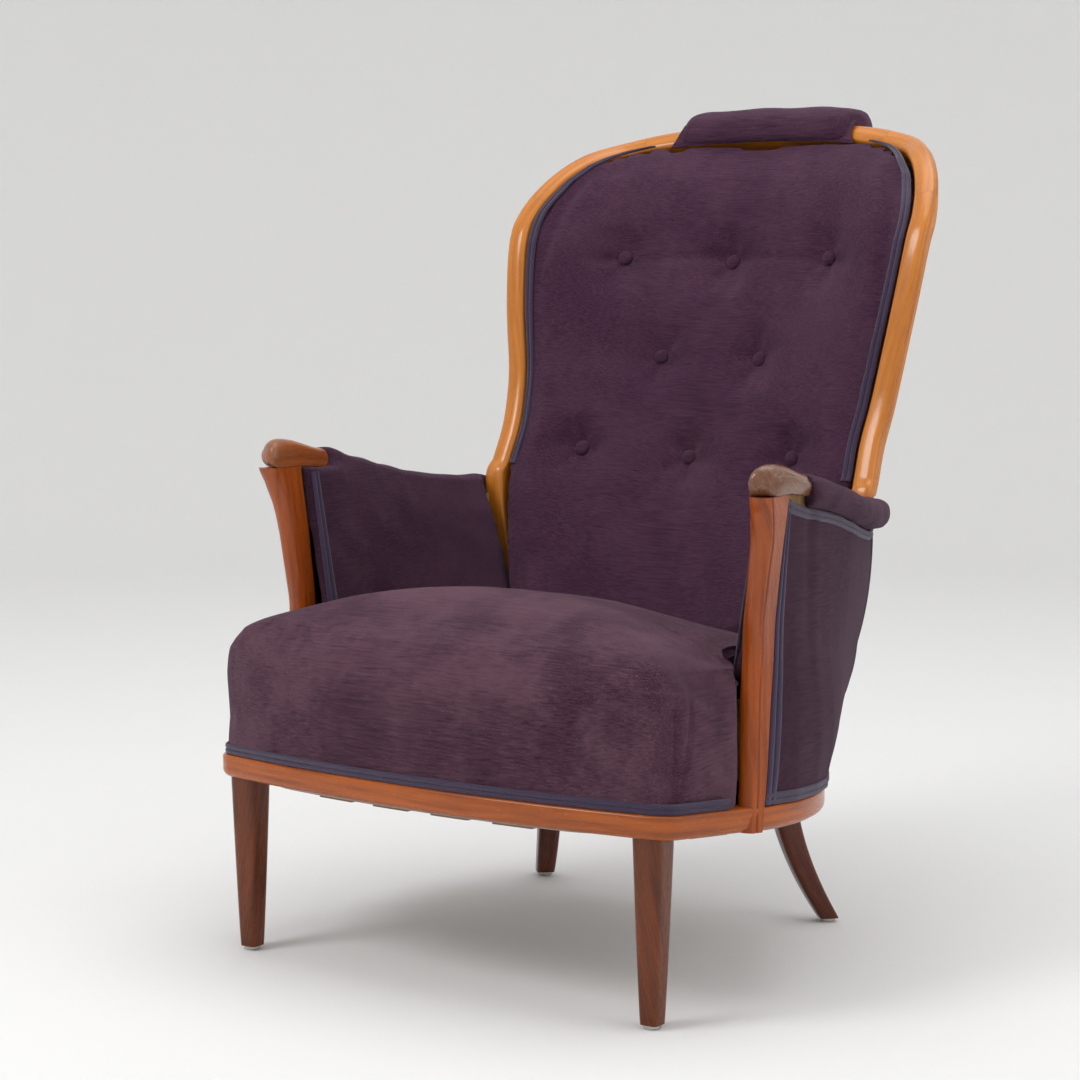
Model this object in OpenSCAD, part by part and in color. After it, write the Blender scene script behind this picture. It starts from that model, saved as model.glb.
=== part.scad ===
// High-backed fireside chair: show-wood frame, sprung seat, buttoned back.
// The floor is z = 0 and the front is -Y. Left and right are the sitter's: left is +X.

/* [Seat rail] */
// Widest width of the seat rail, outside to outside
seat_w = 724; // [712:1:745]
// Depth of the seat rail, from its front centre to its back
seat_d = 565; // [545:1:600]
// Height of the rail's underside above the floor at the front legs
rail_z = 209; // [180:1:235]
// Height of the show-wood band
rail_h = 27; // [22:1:32]
// Thickness of the rail, outside to inside
rail_t = 30; // [24:1:33]
// Fall of the rail towards the back, in degrees
rail_fall = 2.6; // [1:0.1:4]
// Radius of the bow along the front rail
front_bow_r = 1470; // [1200:10:2000]
// Radius of the rounded front corners
front_corner_r = 35; // [34:1:42]
// Distance from the middle to the centre of a front corner's rounding
front_corner_x = 288; // [276:1:294]
// How far the sides toe out behind the front corners, in degrees
toe_out = 17; // [15:0.5:19]
// Radius of the bend along each side
side_bend_r = 250; // [220:5:275]
// How far the sides turn in towards the back, in degrees
turn_in = 35; // [32:1:38]
// Radius of the rear corners
rear_corner_r = 50; // [42:1:58]
// Rounding of the rail's lower outer edge
rail_low_round = 9; // [4:0.5:12]
// Rounding of the rail's upper outer edge
rail_top_round = 4; // [2:0.5:8]

/* [Legs] */
// Width of a front leg at the rail
front_leg_top = 37; // [30:1:42]
// Width of a front leg at the floor
front_leg_foot = 22; // [18:1:28]
// Width of a rear leg at the rail
rear_leg_top = 34; // [28:1:38]
// Width of a rear leg at the floor
rear_leg_foot = 24; // [20:1:30]
// How far a rear foot stands out sideways from the leg's top
rear_splay = 43; // [30:1:55]
// How far a rear foot stands back from the leg's top
rear_sweep = 47; // [30:1:60]
// Diameter of a foot glide
glide_d = 20; // [16:1:22]
// Thickness of a foot glide under the leg
glide_h = 5; // [3:0.5:8]
// Diameter of a glide's nail
glide_nail_d = 3; // [2:0.5:4]

/* [Arms] */
// Height of the joint between an arm post and its knuckle
arm_joint_z = 567; // [540:1:600]
// Height of the knuckle's crest above the joint
knuckle_h = 34; // [28:1:40]
// Length of a knuckle, nose to tail
knuckle_l = 119; // [105:1:130]
// Width of a knuckle
knuckle_w = 36; // [32:1:40]
// Width of an arm post at its head
post_w = 28.5; // [26:0.5:32]
// Depth of an arm post at its head, front to back
post_head_d = 51; // [44:1:56]
// Depth of an arm post at its foot
post_foot_d = 18; // [16:1:24]
// How far the post's waist lies behind its foot
post_bow_back = 43; // [36:1:50]
// How far the post's waist lies inside its foot
post_bow_in = 20; // [14:1:26]
// How far the post's foot stands proud of the rail
post_proud = 5; // [3:0.5:8]
// Depth of the groove between the post's two members
post_groove = 2.5; // [1:0.5:4]
// Drop of the arm's roll from the knuckle to the back
arm_drop = 48; // [35:1:60]
// Thickness of the stuffing inside an arm
arm_pad_t = 14; // [10:1:18]
// Thickness of an arm from its inner face to its outer cover
arm_t = 36; // [32:1:40]
// How far the roll stands out over the outer cover
roll_out = 14; // [8:1:18]
// Depth of the roll from its crest to its underside
roll_d = 38; // [32:1:44]

/* [Back] */
// Height of the top rail's middle line above the floor
back_top_z = 989; // [945:1:1020]
// Half the width of the back frame at its shoulders, to the wood's middle line
shoulder_x = 296; // [285:1:305]
// How far the top rail lies behind the frame's foot at the arm
back_rake = 248; // [225:1:265]
// Width of the frame's face
frame_w = 28.5; // [25:0.5:32]
// Depth of the frame, face to back
frame_d = 28; // [24:1:32]
// Width of the bead behind the frame's groove
frame_bead = 6; // [4:0.5:8]
// Fullness of the back stuffing in front of the frame
back_full = 24; // [16:1:30]
// Depth that the buttons are pulled in
tuft_depth = 22; // [14:1:26]
// Reach of the dimple round a button
tuft_reach = 42; // [34:1:52]
// Diameter of a button
button_d = 20; // [16:1:24]
// Height of a button's dome
button_h = 7; // [5:0.5:9]
// Half the width of the head roll
head_x = 116; // [105:1:125]
// Height of the head roll above the top rail's middle line
head_up = 28; // [24:1:34]
// Thickness of the outside back cover
cover_t = 3; // [2:0.5:4]

/* [Seat] */
// Height of the seat's crown above the floor
seat_crown_z = 434; // [415:1:450]
// Fall of the seat's surface towards the back, in degrees
seat_fall = 8; // [5:0.5:9]
// Height of the seat's border above the rail
border_h = 128; // [115:1:140]
// Fullness of the seat's border, outwards
border_full = 3; // [0:0.5:6]
// Rounding of the seat's upper edge
seat_edge_round = 30; // [20:1:36]
// Wire diameter of a seat spring
spring_wire = 4; // [3:0.5:5]
// Diameter of a seat spring at its ends
spring_d = 84; // [70:1:92]
// Diameter of a seat spring at its waist
spring_waist_d = 52; // [40:1:60]
// Turns of a seat spring
spring_turns = 4; // [3:1:5]
// Distance between the seat springs
spring_pitch = 118; // [112:1:124]
// Width of the webbing
web_w = 50; // [45:1:55]
// Thickness of the webbing
web_t = 2; // [1.5:0.5:3]
// Sag of the dust cover
dust_sag = 12; // [4:1:16]

/* [Trim] */
// Width of the braid
gimp_w = 12; // [9:1:14]
// Thickness of the braid
gimp_t = 2; // [1.5:0.5:3]

/* [Hidden] */

wood = "peru";
dark_wood = "saddlebrown";
worn_wood = "rosybrown";
plain_wood = "burlywood";
cloth = "indigo";
braid = "darkslateblue";
jute = "tan";
steel = "silver";

// Running clearance between soft pieces and their neighbours
soft_gap = 0.3;
// Overrun of every cut
over = 1;

// General helpers: blends, directions and a smooth curve through points

function lerp(a, b, t) = a + (b - a) * t;
function clamp(v, lo, hi) = min(max(v, lo), hi);
function unit(v) = v / norm(v);
function polar(a) = [cos(a), sin(a)];
function flat(v) = [v.x, v.y];
function bend(p0, p1, p2, p3, t) =
  (2 * p1 + (p2 - p0) * t + (2 * p0 - 5 * p1 + 4 * p2 - p3) * t * t
    + (3 * p1 - p0 - 3 * p2 + p3) * t * t * t) / 2;
function at(table, s) =
  let (n = len(table) - 1, k = clamp(floor(s * n), 0, n - 1), t = s * n - k)
  bend(table[max(k - 1, 0)], table[k], table[k + 1], table[min(k + 2, n)], t);
// Looks up a row by its first column, then blends to the next row
function row_of(table, v, k = 0) =
  k >= len(table) - 2 || v < table[k + 1][0] ? k : row_of(table, v, k + 1);
function look(table, v, c) =
  let (k = row_of(table, v), n = len(table) - 1,
    t = clamp((v - table[k][0]) / (table[k + 1][0] - table[k][0]), 0, 1),
    before = max(k - 1, 0), after = min(k + 2, n))
  bend(table[before][c], table[k][c], table[k + 1][c], table[after][c], t);

// Turns a face list the right way out, by the sign of the volume that it encloses
function fan_sum(p, f) = sum_of([for (k = [1 : len(f) - 2]) p[f[0]] * cross(p[f[k]], p[f[k + 1]])]);
function sum_of(list) = list * [for (v = list) 1];
function right_way(p, faces) = sum_of([for (f = faces) fan_sum(p, f)]) < 0 ? faces
  : [for (f = faces) [for (k = [len(f) - 1 : -1 : 0]) f[k]]];
// A solid through a list of rings, each with the same number of points
module loft(rings, bent_start = false) {
  n = len(rings[0]);
  m = len(rings);
  points = [for (r = rings) each r];
  sides = [for (i = [0 : m - 2], j = [0 : n - 1])
    let (a = i * n + j, b = i * n + (j + 1) % n) each [[a, a + n, b], [b, a + n, b + n]]];
  first = bent_start ? zigzag(n) : [[for (j = [0 : n - 1]) j]];
  last = [for (j = [n - 1 : -1 : 0]) (m - 1) * n + j];
  polyhedron(points = points, faces = right_way(points, concat(sides, first, [last])), convexity = 6);
}
// Faces across a ring whose points don't lie in one plane, from side to side
function zigzag(n) = [for (i = [0 : n - 3]) let (j = floor(i / 2))
  i % 2 == 0 ? [j, j + 1, n - 1 - j] : [j + 1, n - 2 - j, n - 1 - j]];
// The same, closed to a point at both ends of the list
module pillow(rings, start, finish) {
  n = len(rings[0]);
  m = len(rings);
  points = concat([for (r = rings) each r], [start, finish]);
  sides = [for (i = [0 : m - 2], j = [0 : n - 1])
    let (a = i * n + j, b = i * n + (j + 1) % n) each [[a, a + n, b], [b, a + n, b + n]]];
  first = [for (j = [0 : n - 1]) [m * n, j, (j + 1) % n]];
  last = [for (j = [0 : n - 1]) [m * n + 1, (m - 1) * n + (j + 1) % n, (m - 1) * n + j]];
  polyhedron(points = points, faces = right_way(points, concat(sides, first, last)), convexity = 6);
}
module both_sides() {
  children();
  mirror([1, 0, 0]) children();
}
module right_side() mirror([1, 0, 0]) children();

// Seat ring: stations of place and outward angle, from front centre to rear centre.
// In this frame y = 0 is the front of the seat rail; place() shifts it to the origin.

bow_span = asin(front_corner_x / (front_bow_r - front_corner_r));
front_c = [front_corner_x, front_bow_r - (front_bow_r - front_corner_r) * cos(bow_span)];
corner_end = front_c + front_corner_r * polar(-toe_out);
side_run = (seat_w / 2 - side_bend_r * (1 - cos(toe_out)) - corner_end.x) / sin(toe_out);
side_c = corner_end + side_run * [sin(toe_out), cos(toe_out)] - side_bend_r * polar(-toe_out);
side_end = side_c + side_bend_r * polar(turn_in);
rear_run = (seat_d - rear_corner_r - side_end.y + rear_corner_r * sin(turn_in)) / cos(turn_in);
rear_c = side_end + rear_run * [-sin(turn_in), cos(turn_in)] - rear_corner_r * polar(turn_in);
bow_parts = 6;
corner_parts = 5;
side_parts = 8;
rear_parts = 5;
ring = concat(
  [for (i = [0 : bow_parts - 1]) let (a = bow_span * i / bow_parts - 90)
    concat([0, front_bow_r] + front_bow_r * polar(a), a)],
  [for (i = [0 : corner_parts]) let (a = lerp(bow_span - 90, -toe_out, i / corner_parts))
    concat(front_c + front_corner_r * polar(a), a)],
  [concat(side_c + side_bend_r * polar(-toe_out), -toe_out)],
  [for (i = [1 : side_parts]) let (a = lerp(-toe_out, turn_in, i / side_parts))
    concat(side_c + side_bend_r * polar(a), a)],
  [for (i = [0 : rear_parts]) let (a = lerp(turn_in, 90, i / rear_parts))
    concat(rear_c + rear_corner_r * polar(a), a)],
  [[0, seat_d, 90]]
);
// The arm post stands where the straight meets the side bend
post_stand = side_c + side_bend_r * polar(-toe_out);
post_line = lerp(corner_end.y, post_stand.y, 0.9);
function mirrored(s) = [-s[0], s[1], 180 - s[2]];
function inset(s, d) = flat(s) - d * polar(s[2]);
function part_of_ring(a0, a1) = [for (s = ring) if (s[2] >= a0 && s[2] <= a1) s];
function there_and_back(list) =
  concat([for (i = [len(list) - 1 : -1 : 1]) mirrored(list[i])], list);
// A ring station blended between the listed ones, by share of the list
function on_list(list, u) =
  let (n = len(list) - 1, k = min(floor(u * n), n - 1)) lerp(list[k], list[k + 1], u * n - k);

leg_y = front_c.y - front_corner_r * 0.26;
front_leg = [front_c.x - front_corner_r * 0.13, leg_y];
rear_leg = rear_c + rear_corner_r * [0.39, 0.12];
rear_foot = rear_leg + [rear_splay, rear_sweep];
// Underside and top of the rail at a distance from the front
function under(y) = rail_z - tan(rail_fall) * (y - leg_y);
function top_of_rail(y) = under(y) + rail_h;

function raise(p, h) = [p.x, p.y, under(p.y) + h];
function arc_points(c, r, a0, a1, n) = [for (i = [0 : n]) c + r * polar(lerp(a0, a1, i / n))];
round_parts = 3;
// Section of the show-wood band: distance outwards, height
rail_section = concat(
  [[-rail_t, 0]],
  arc_points([-rail_low_round, rail_low_round], rail_low_round, -90, 0, round_parts),
  arc_points([-rail_top_round, rail_h - rail_top_round], rail_top_round, 0, 90, round_parts - 1),
  [[-rail_t, rail_h]]
);
module banded(stations, section)
  loft([for (s = stations) [for (q = section) raise(inset(s, -q.x), q.y)]]);

module front_rail_body() banded(there_and_back(part_of_ring(-90, -toe_out)), rail_section);
module side_rail_body() banded([for (s = part_of_ring(-toe_out, turn_in)) if (s[1] > post_line) s],
  rail_section);
module back_rail_body() {
  half = [for (s = ring) if (s[2] >= turn_in && s[1] > rear_c.y) s];
  banded(concat(half, [for (i = [len(half) - 2 : -1 : 0]) mirrored(half[i])]), rail_section);
}

// Hidden tack frame on top of the rail, set in from its face
tack_in = 14;
tack_t = 15;
tack_h = 22;
tack_section = [[-tack_in - tack_t, rail_h], [-tack_in, rail_h], [-tack_in, rail_h + tack_h],
  [-tack_in - tack_t, rail_h + tack_h]];
// Angle on the side bend where the side tack rails start, behind the posts
tack_start = -4;
// How far they reach along the straight towards the rear legs
tack_share = 0.7;
rear_start = concat(rear_c + rear_corner_r * polar(turn_in), turn_in);
tack_end = concat(lerp(side_end, flat(rear_start), tack_share), turn_in);
module tack_body() {
  banded(there_and_back([for (s = part_of_ring(-90, -toe_out)) if (s[1] < post_line) s]), tack_section);
  both_sides() banded(concat([for (s = part_of_ring(tack_start, turn_in)) if (s[1] < rear_c.y) s],
    [tack_end]), tack_section);
}

// Legs

leg_sides = 16;
// Squareness of a leg's section, from 2 for round to large for square
leg_square = 5;
function leg_outline(c, w, a) = [for (i = [0 : leg_sides - 1])
  let (t = 360 * i / leg_sides, k = pow(pow(abs(cos(t)), leg_square) + pow(abs(sin(t)), leg_square),
    -1 / leg_square), p = w / 2 * k * polar(t + a)) c + p];
module front_leg_body() {
  levels = 5;
  loft([for (i = [0 : levels]) let (s = i / levels)
    [for (p = leg_outline(front_leg, lerp(front_leg_foot, front_leg_top, pow(s, 0.85)), 0))
      [p.x, p.y, lerp(glide_h, under(p.y), s)]]]);
}
// How the sabre curve eases out towards the rail
sabre_ease = 1.8;
module rear_leg_body() {
  levels = 7;
  turn = atan2(rear_sweep, rear_splay);
  loft([for (i = [0 : levels]) let (s = i / levels, back = pow(1 - s, sabre_ease))
    [for (p = leg_outline(lerp(rear_leg, rear_foot, back),
        lerp(rear_leg_foot, rear_leg_top, pow(s, 0.7)), turn))
      [p.x, p.y, lerp(glide_h, under(p.y), s)]]]);
}

// Arm posts: share of height, share of bow inwards, share of bow back, share of depth, share of width
post_shares = [
  [0, 0, 0, 0, 0.79], [0.142, 0.3, 0.33, 0.12, 0.8], [0.27, 0.64, 0.61, 0.24, 0.82],
  [0.38, 0.85, 0.8, 0.33, 0.82], [0.478, 0.965, 0.96, 0.39, 0.82], [0.534, 0.965, 1, 0.4, 0.84],
  [0.617, 0.865, 0.94, 0.46, 0.83], [0.718, 0.625, 0.9, 0.475, 0.86], [0.785, 0.44, 0.87, 0.485, 0.91],
  [0.869, 0.165, 0.785, 0.53, 0.98], [0.9525, -0.085, 0.565, 0.79, 1], [1, -0.21, 0.4, 1, 1]
];
post_foot = post_stand + post_proud * polar(-toe_out);
function post_outer_x(s) = post_foot.x - post_bow_in * look(post_shares, s, 1);
function post_front_y(s) = post_foot.y - post_foot_d / 2 + post_bow_back * look(post_shares, s, 2);
function post_depth(s) = lerp(post_foot_d, post_head_d, look(post_shares, s, 3));
function post_width(s) = post_w * look(post_shares, s, 4);
function post_back_y(s) = post_front_y(s) + post_depth(s);
// The section follows the rail at the foot and the arm at the head
function post_slant(s) = lerp(tan(toe_out), -0.04, s);
// Section as shares of the width back from the nose, and out from the inner face
nose_shares = [[0.55, 0], [0.28, 0.04], [0.1, 0.16], [0, 0.38], [0, 0.62], [0.09, 0.86],
  [0.24, 0.985], [0.34, 0.98]];
function post_ring(s) = let (w = post_width(s), d = post_depth(s), y0 = post_front_y(s),
    x0 = post_outer_x(s) - w, g = post_groove,
    outline = concat([[d, 0]], [for (q = nose_shares) w * q],
      [[0.39 * w, w - g], [0.46 * w, w - g], [0.52 * w, w * 0.97], [d, w * 0.95]]))
  [for (q = outline) let (y = y0 + q.x, x = x0 + q.y + post_slant(s) * (q.x - d / 2))
    [x, y, lerp(under(y), arm_joint_z, s)]];
post_levels_share = [0, 0.12, 0.24, 0.36, 0.46, 0.54, 0.62, 0.7, 0.785, 0.84, 0.89, 0.93, 0.965, 1];
module post_body() loft([for (s = post_levels_share) post_ring(s)]);
module arm_post() difference() {
  post_body();
  front_rail_body();
  side_rail_body();
}

// Arm line: the crest of the arm from the post's head to the back frame's foot.
// Share of the run, share of the knuckle's place sideways, share of the arm's drop
back_foot_y = 527;
// Overhang of a knuckle's nose in front of its post, and fall of its tongue
nose_run = 7;
tongue_drop = 5;
arm_x = post_outer_x(1) - post_w / 2;
arm_start = post_back_y(1);
arm_crest_z = arm_joint_z + knuckle_h * 0.6;
arm_shares = [[-0.2, 1, 0], [0, 1, 0], [0.188, 0.998, 0], [0.258, 0.999, 0.1], [0.526, 0.972, 0.55],
  [0.68, 0.935, 0.8], [0.834, 0.89, 0.965], [1, 0.83, 1], [1.09, 0.787, 1]];
function arm_y(u) = lerp(arm_start, back_foot_y, u);
function arm_place(u) = [arm_x * look(arm_shares, u, 1), arm_y(u)];
function arm_crest(u) = arm_crest_z - arm_drop * look(arm_shares, u, 2);
arm_step = 0.02;
function arm_ahead(u) = unit(arm_place(u + arm_step) - arm_place(u - arm_step));
function arm_out(u) = let (t = arm_ahead(u)) [t.y, -t.x];
// Share of the run where the knuckle ends
tail_share = (knuckle_l - post_head_d - nose_run) / (back_foot_y - arm_start);
tail_slant = 0.5;
function slant(u) = u < tail_share ? tail_slant * u / tail_share
  : tail_slant * clamp(1 - (u - tail_share) * 5, 0, 1);
pad_in = arm_t * 0.66;
cover_out = arm_t - pad_in;
// A point of the arm: share of the run, distance out from the crest, height
function arm_point(u, out, z) =
  let (p = arm_place(u) + out * arm_out(u) - slant(u) * (out + pad_in) * arm_ahead(u)) [p.x, p.y, z];

// Knuckles: share of length, share of crest height, share of width
knuckle_shares = [[0, 0.62, 0.3], [0.025, 0.76, 0.55], [0.06, 0.86, 0.78], [0.12, 0.95, 0.94],
  [0.24, 1, 1], [0.45, 0.93, 1], [0.65, 0.8, 0.97], [0.85, 0.66, 0.92], [1, 0.6, 0.88]];
function knuckle_u(s) = lerp((post_front_y(1) - nose_run - arm_start)
  / (back_foot_y - arm_start), tail_share, s);
// Section from the inner lower edge over the crest to the outer lower edge:
// share of width, share of height
crown_shares = [[0, 0], [0, 0.3], [0.02, 0.6], [0.1, 0.85], [0.28, 0.98], [0.5, 1], [0.68, 0.94],
  [0.81, 0.8], [0.85, 0.7], [0.93, 0.67], [0.99, 0.56], [0.98, 0.36], [0.9, 0.14], [0.8, 0]];
function knuckle_ring(s) = let (u = knuckle_u(s), g = min(look(knuckle_shares, s, 2), 1), w = knuckle_w,
    top = knuckle_h * look(knuckle_shares, s, 1),
    low = arm_joint_z - tongue_drop * max(0, s * 2 - 1), heart = [0.44, 0.42],
    back_off = nose_run * clamp(1 - s * 5, 0, 1))
  [for (q = crown_shares) let (x = lerp(heart.x, q.x, g), y = lerp(heart.y * (1 - s), q.y, pow(g, 0.5)),
      dy = back_off * pow(clamp(1 - y / heart.y, 0, 1), 1.5), p = arm_point(u, w * x - post_w / 2, 0))
    [p.x, p.y + dy, low + (arm_joint_z + top - low) * y]];
knuckle_levels = [0, 0.025, 0.06, 0.12, 0.24, 0.36, 0.5, 0.65, 0.85, 1];
module arm_knuckle() loft([for (s = knuckle_levels) knuckle_ring(s)]);

// Fall of the seat's surface and of its hessian, counted from the seat's middle
seat_middle = [0, seat_d * 0.4];
hess_fall_share = 0.62;
function fall(y) = tan(seat_fall) * (y - seat_middle.y);
// Thickness of the stuffing's side walls and of the whole seat over the hessian, as shares
side_share = 0.63;
hess_share = 0.8;

// Arm pads: the inner face leans in towards the seat, more so at the back
pad_lean_front = 0.15;
pad_lean_back = 0.5;
pad_low_z = seat_crown_z - border_h * side_share;
function pad_low(u) = pad_low_z - fall(arm_y(u));
rail_under_d = 26;
arm_rail_h = 16;
arm_rail_in = 8;
cover_line = cover_out * 0.97;
arm_rail_clear = 5;
// How much further in the rail and the cover lie at the back end of the arm
arm_narrow = 9;
function narrow(u) = arm_narrow * pow(clamp(u, 0, 1), 2);
arm_rail_out = cover_line - cover_t - arm_rail_clear;
function inner_out(u, z) =
  -pad_in - lerp(pad_lean_front, pad_lean_back, clamp(u, 0, 1)) * (arm_crest(u) - z);
function tongue_low(u) = arm_joint_z
  - tongue_drop * max(0, (u - knuckle_u(0)) / (tail_share - knuckle_u(0)) * 2 - 1);
function rail_up(u) = u <= tail_share ? tongue_low(u) : arm_crest(u) - rail_under_d;
arm_steps = [0, 0.045, 0.09, 0.135, 0.16, 0.22, 0.3, 0.4, 0.5, 0.6, 0.7, 0.8, 0.88, 0.95, 1, 1.04, 1.07];
module arm_rail_body(grow = 0) loft([for (u = arm_steps) if (u <= 1)
  let (z1 = rail_up(u) - soft_gap / 3 + grow, z0 = arm_crest(u) - rail_under_d - arm_rail_h - grow,
    a = -arm_rail_in - narrow(u) - grow, b = arm_rail_out - narrow(u) + grow)
    [arm_point(u, a, z0), arm_point(u, a, z1), arm_point(u, b, z1), arm_point(u, b, z0)]]);

// Back frame: one swept moulding on each side and over the top.
// Shares of the shoulder's half width, the rake and the height, then the lean in degrees
back_foot_z = arm_crest_z - arm_drop * 1.196;
frame_shares = [
  [0.557, -0.053, -0.71, 3], [0.71, -0.025, -0.46, 5], [0.861, -0.01, -0.22, 15],
  [0.917, 0, 0, 24], [0.911, 0.055, 0.066, 25], [0.904, 0.127, 0.154, 22], [0.9155, 0.19, 0.242, 17],
  [0.931, 0.231, 0.33, 12], [0.972, 0.279, 0.505, 9], [0.9986, 0.351, 0.681, 20],
  [0.994, 0.441, 0.769, 31], [0.94, 0.589, 0.857, 39], [0.84, 0.75, 0.926, 42],
  [0.7, 0.895, 0.96, 42], [0.44, 0.964, 0.989, 42], [0, 1, 1, 42]
];
frame_end = len(frame_shares) - 1;
function frame_row(i) = i > frame_end ? let (r = frame_row(2 * frame_end - i)) [-r[0], r[1], r[2], r[3]]
  : let (k = clamp(floor(i), 0, frame_end - 1), n = frame_end,
      after = k + 2 > n ? [-frame_shares[n - 1][0], frame_shares[n - 1][1], frame_shares[n - 1][2],
        frame_shares[n - 1][3]] : frame_shares[k + 2])
    bend(frame_shares[max(k - 1, 0)], frame_shares[k], frame_shares[k + 1], after, i - k);
function frame_place(i) = let (r = frame_row(i))
  [shoulder_x * r[0], back_foot_y + back_rake * r[1], lerp(back_foot_z, back_top_z, r[2])];
frame_step = 0.05;
function frame_ahead(i) = unit(frame_place(i + frame_step) - frame_place(max(i - frame_step, 0)));
function frame_wide(i) = let (a = frame_row(i)[3]) unit(cross(frame_ahead(i), [0, -cos(a), sin(a)]));
function frame_face(i) = unit(cross(frame_wide(i), frame_ahead(i)));
// Section of the moulding: share of the width outwards, share of the depth behind the crown
frame_section = [[-0.5, 1], [-0.5, 0.3], [-0.45, 0.13], [-0.27, 0.02], [0, 0], [0.27, 0.02], [0.44, 0.12],
  [0.47, 0.24], [0.41, 0.3], [0.46, 0.36], [0.5, 0.42], [0.48, 0.5], [0.3, 0.52], [0.3, 1]];
// The frame is thinner below the arms, where the covers hide it
frame_foot_share = 0.6;
function frame_depth(i) = frame_d * lerp(frame_foot_share, 1, clamp((i - 2.4) / 1.6, 0, 1));
function frame_ring(i, grow) = let (c = frame_place(i), w = frame_wide(i), d = -frame_face(i))
  [for (q = frame_section) c + (frame_w + 2 * grow) * q.x * w
    + ((frame_depth(i) + 2 * grow) * q.y - grow) * d];
module frame_body(list, grow = 0) loft([for (i = list) frame_ring(i, grow)]);
stile_joint = 10.45;
top_joint = 13.4;
stile_list = [0, 0.7, 1.4, 2, 2.6, 3, 3.5, 4, 4.6, 5.2, 6, 7, 8, 8.7, 9.3, 9.9, stile_joint];
shoulder_list = [stile_joint, 10.8, 11.2, 11.6, 12, 12.3, 12.6, 12.9, 13.15, top_joint];
top_list = [top_joint, 13.8, 14.2, 14.6, 15, 15.4, 15.8, 16.2, 2 * frame_end - top_joint];
module stile() difference() {
  frame_body(stile_list);
  side_rail_body();
  back_rail_body();
  block(rear_block);
}

// Cross rail between the stiles, behind the seat
cross_z = seat_crown_z - border_h * 0.46;
cross_h = 40;
cross_t = 20;
cross_lean = 0.25;
cross_set = -3;
module cross_rail_body() {
  y0 = frame_place(2).y + cross_set;
  rotate([0, 90, 0]) linear_extrude(2 * shoulder_x * 0.8, center = true)
    polygon([[-cross_z, y0], [-cross_z - cross_h, y0 + cross_lean * cross_h],
      [-cross_z - cross_h, y0 + cross_t + cross_lean * cross_h], [-cross_z, y0 + cross_t]]);
}
module cross_rail() difference() {
  cross_rail_body();
  both_sides() frame_body(stile_list);
}

// Back stuffing: rows by share of the frame's height, half width as a share of the shoulders,
// and the place of the stuffed edge as a share of the rake
back_high_share = 0.96;
edge_shares = [
  [-0.42, 0.6, -0.37], [-0.34, 0.655, -0.325], [-0.27, 0.7, -0.27], [-0.2, 0.745, -0.21],
  [-0.11, 0.797, -0.12], [-0.03, 0.845, -0.035],
  [0.03, 0.862, 0.015], [0.066, 0.863, 0.055], [0.154, 0.856, 0.127], [0.242, 0.868, 0.19],
  [0.33, 0.883, 0.231], [0.505, 0.924, 0.279], [0.681, 0.951, 0.35], [0.769, 0.943, 0.44],
  [0.857, 0.88, 0.588], [0.9, 0.813, 0.675], [0.923, 0.76, 0.748], [0.944, 0.68, 0.83],
  [0.96, 0.57, 0.88]
];
hollow = 44;
hollow_share = 0.8;
edge_drop = 6;
back_pad_t = 30;
back_rows = [-0.42, -0.34, -0.25, -0.16, -0.08, 0, 0.045, 0.09, 0.135, 0.19, 0.25, 0.3, 0.353, 0.405, 0.46,
  0.52, 0.575, 0.625, 0.675, 0.73, 0.8, 0.86, 0.9, 0.925, 0.945, 0.96];
back_columns = [-1, -0.955, -0.86, -0.74, -0.625, -0.559, -0.42, -0.283, -0.14, 0, 0.14, 0.283, 0.42,
  0.559, 0.625, 0.74, 0.86, 0.955, 1];
function back_z(v) = lerp(back_foot_z, back_top_z, v);
function back_half(v) = shoulder_x * look(edge_shares, v, 1) - edge_drop / 2;
function back_edge(v) = back_foot_y + back_rake * look(edge_shares, v, 2) + edge_drop;
function back_line(v) = back_foot_y + hollow + back_rake * hollow_share * v;
// Buttons: share of the shoulders' half width, share of the frame's height
button_shares = [[-0.519, 0.631], [0, 0.619], [0.519, 0.631], [-0.248, 0.353], [0.248, 0.353],
  [-0.53, 0.094], [0, 0.081], [0.53, 0.094]];
function dimple(x, z) = tuft_depth * max([for (b = button_shares)
  exp(-pow(norm([x - shoulder_x * b.x, z - back_z(b[1])]) / tuft_reach, 2) * 1.6)]);
function fullness(u, v) = back_full * (1 - pow(abs(u), 8))
  * (1 - pow(clamp((v - 0.72) / (back_high_share - 0.72), 0, 1), 3));
function back_front(u, v) = let (x = u * back_half(v))
  [x, lerp(back_line(v), back_edge(v), u * u) - fullness(u, v) + dimple(x, back_z(v)), back_z(v)];
// Thickness left at the edge of the stuffing, thinner under the top rail
function back_rim(v) = (back_pad_t - back_full) * lerp(1, 0.2, clamp((v - 0.83) / 0.1, 0, 1));
function back_rear(u, v) = let (x = u * back_half(v))
  [x, lerp(back_line(v), back_edge(v) + back_rim(v), u * u) + back_rim(v), back_z(v)];
module back_cushion_body() loft([for (v = back_rows) concat(
  [for (u = back_columns) back_front(u, v)],
  [for (k = [len(back_columns) - 1 : -2 : 0]) back_rear(back_columns[k], v)])]);

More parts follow.
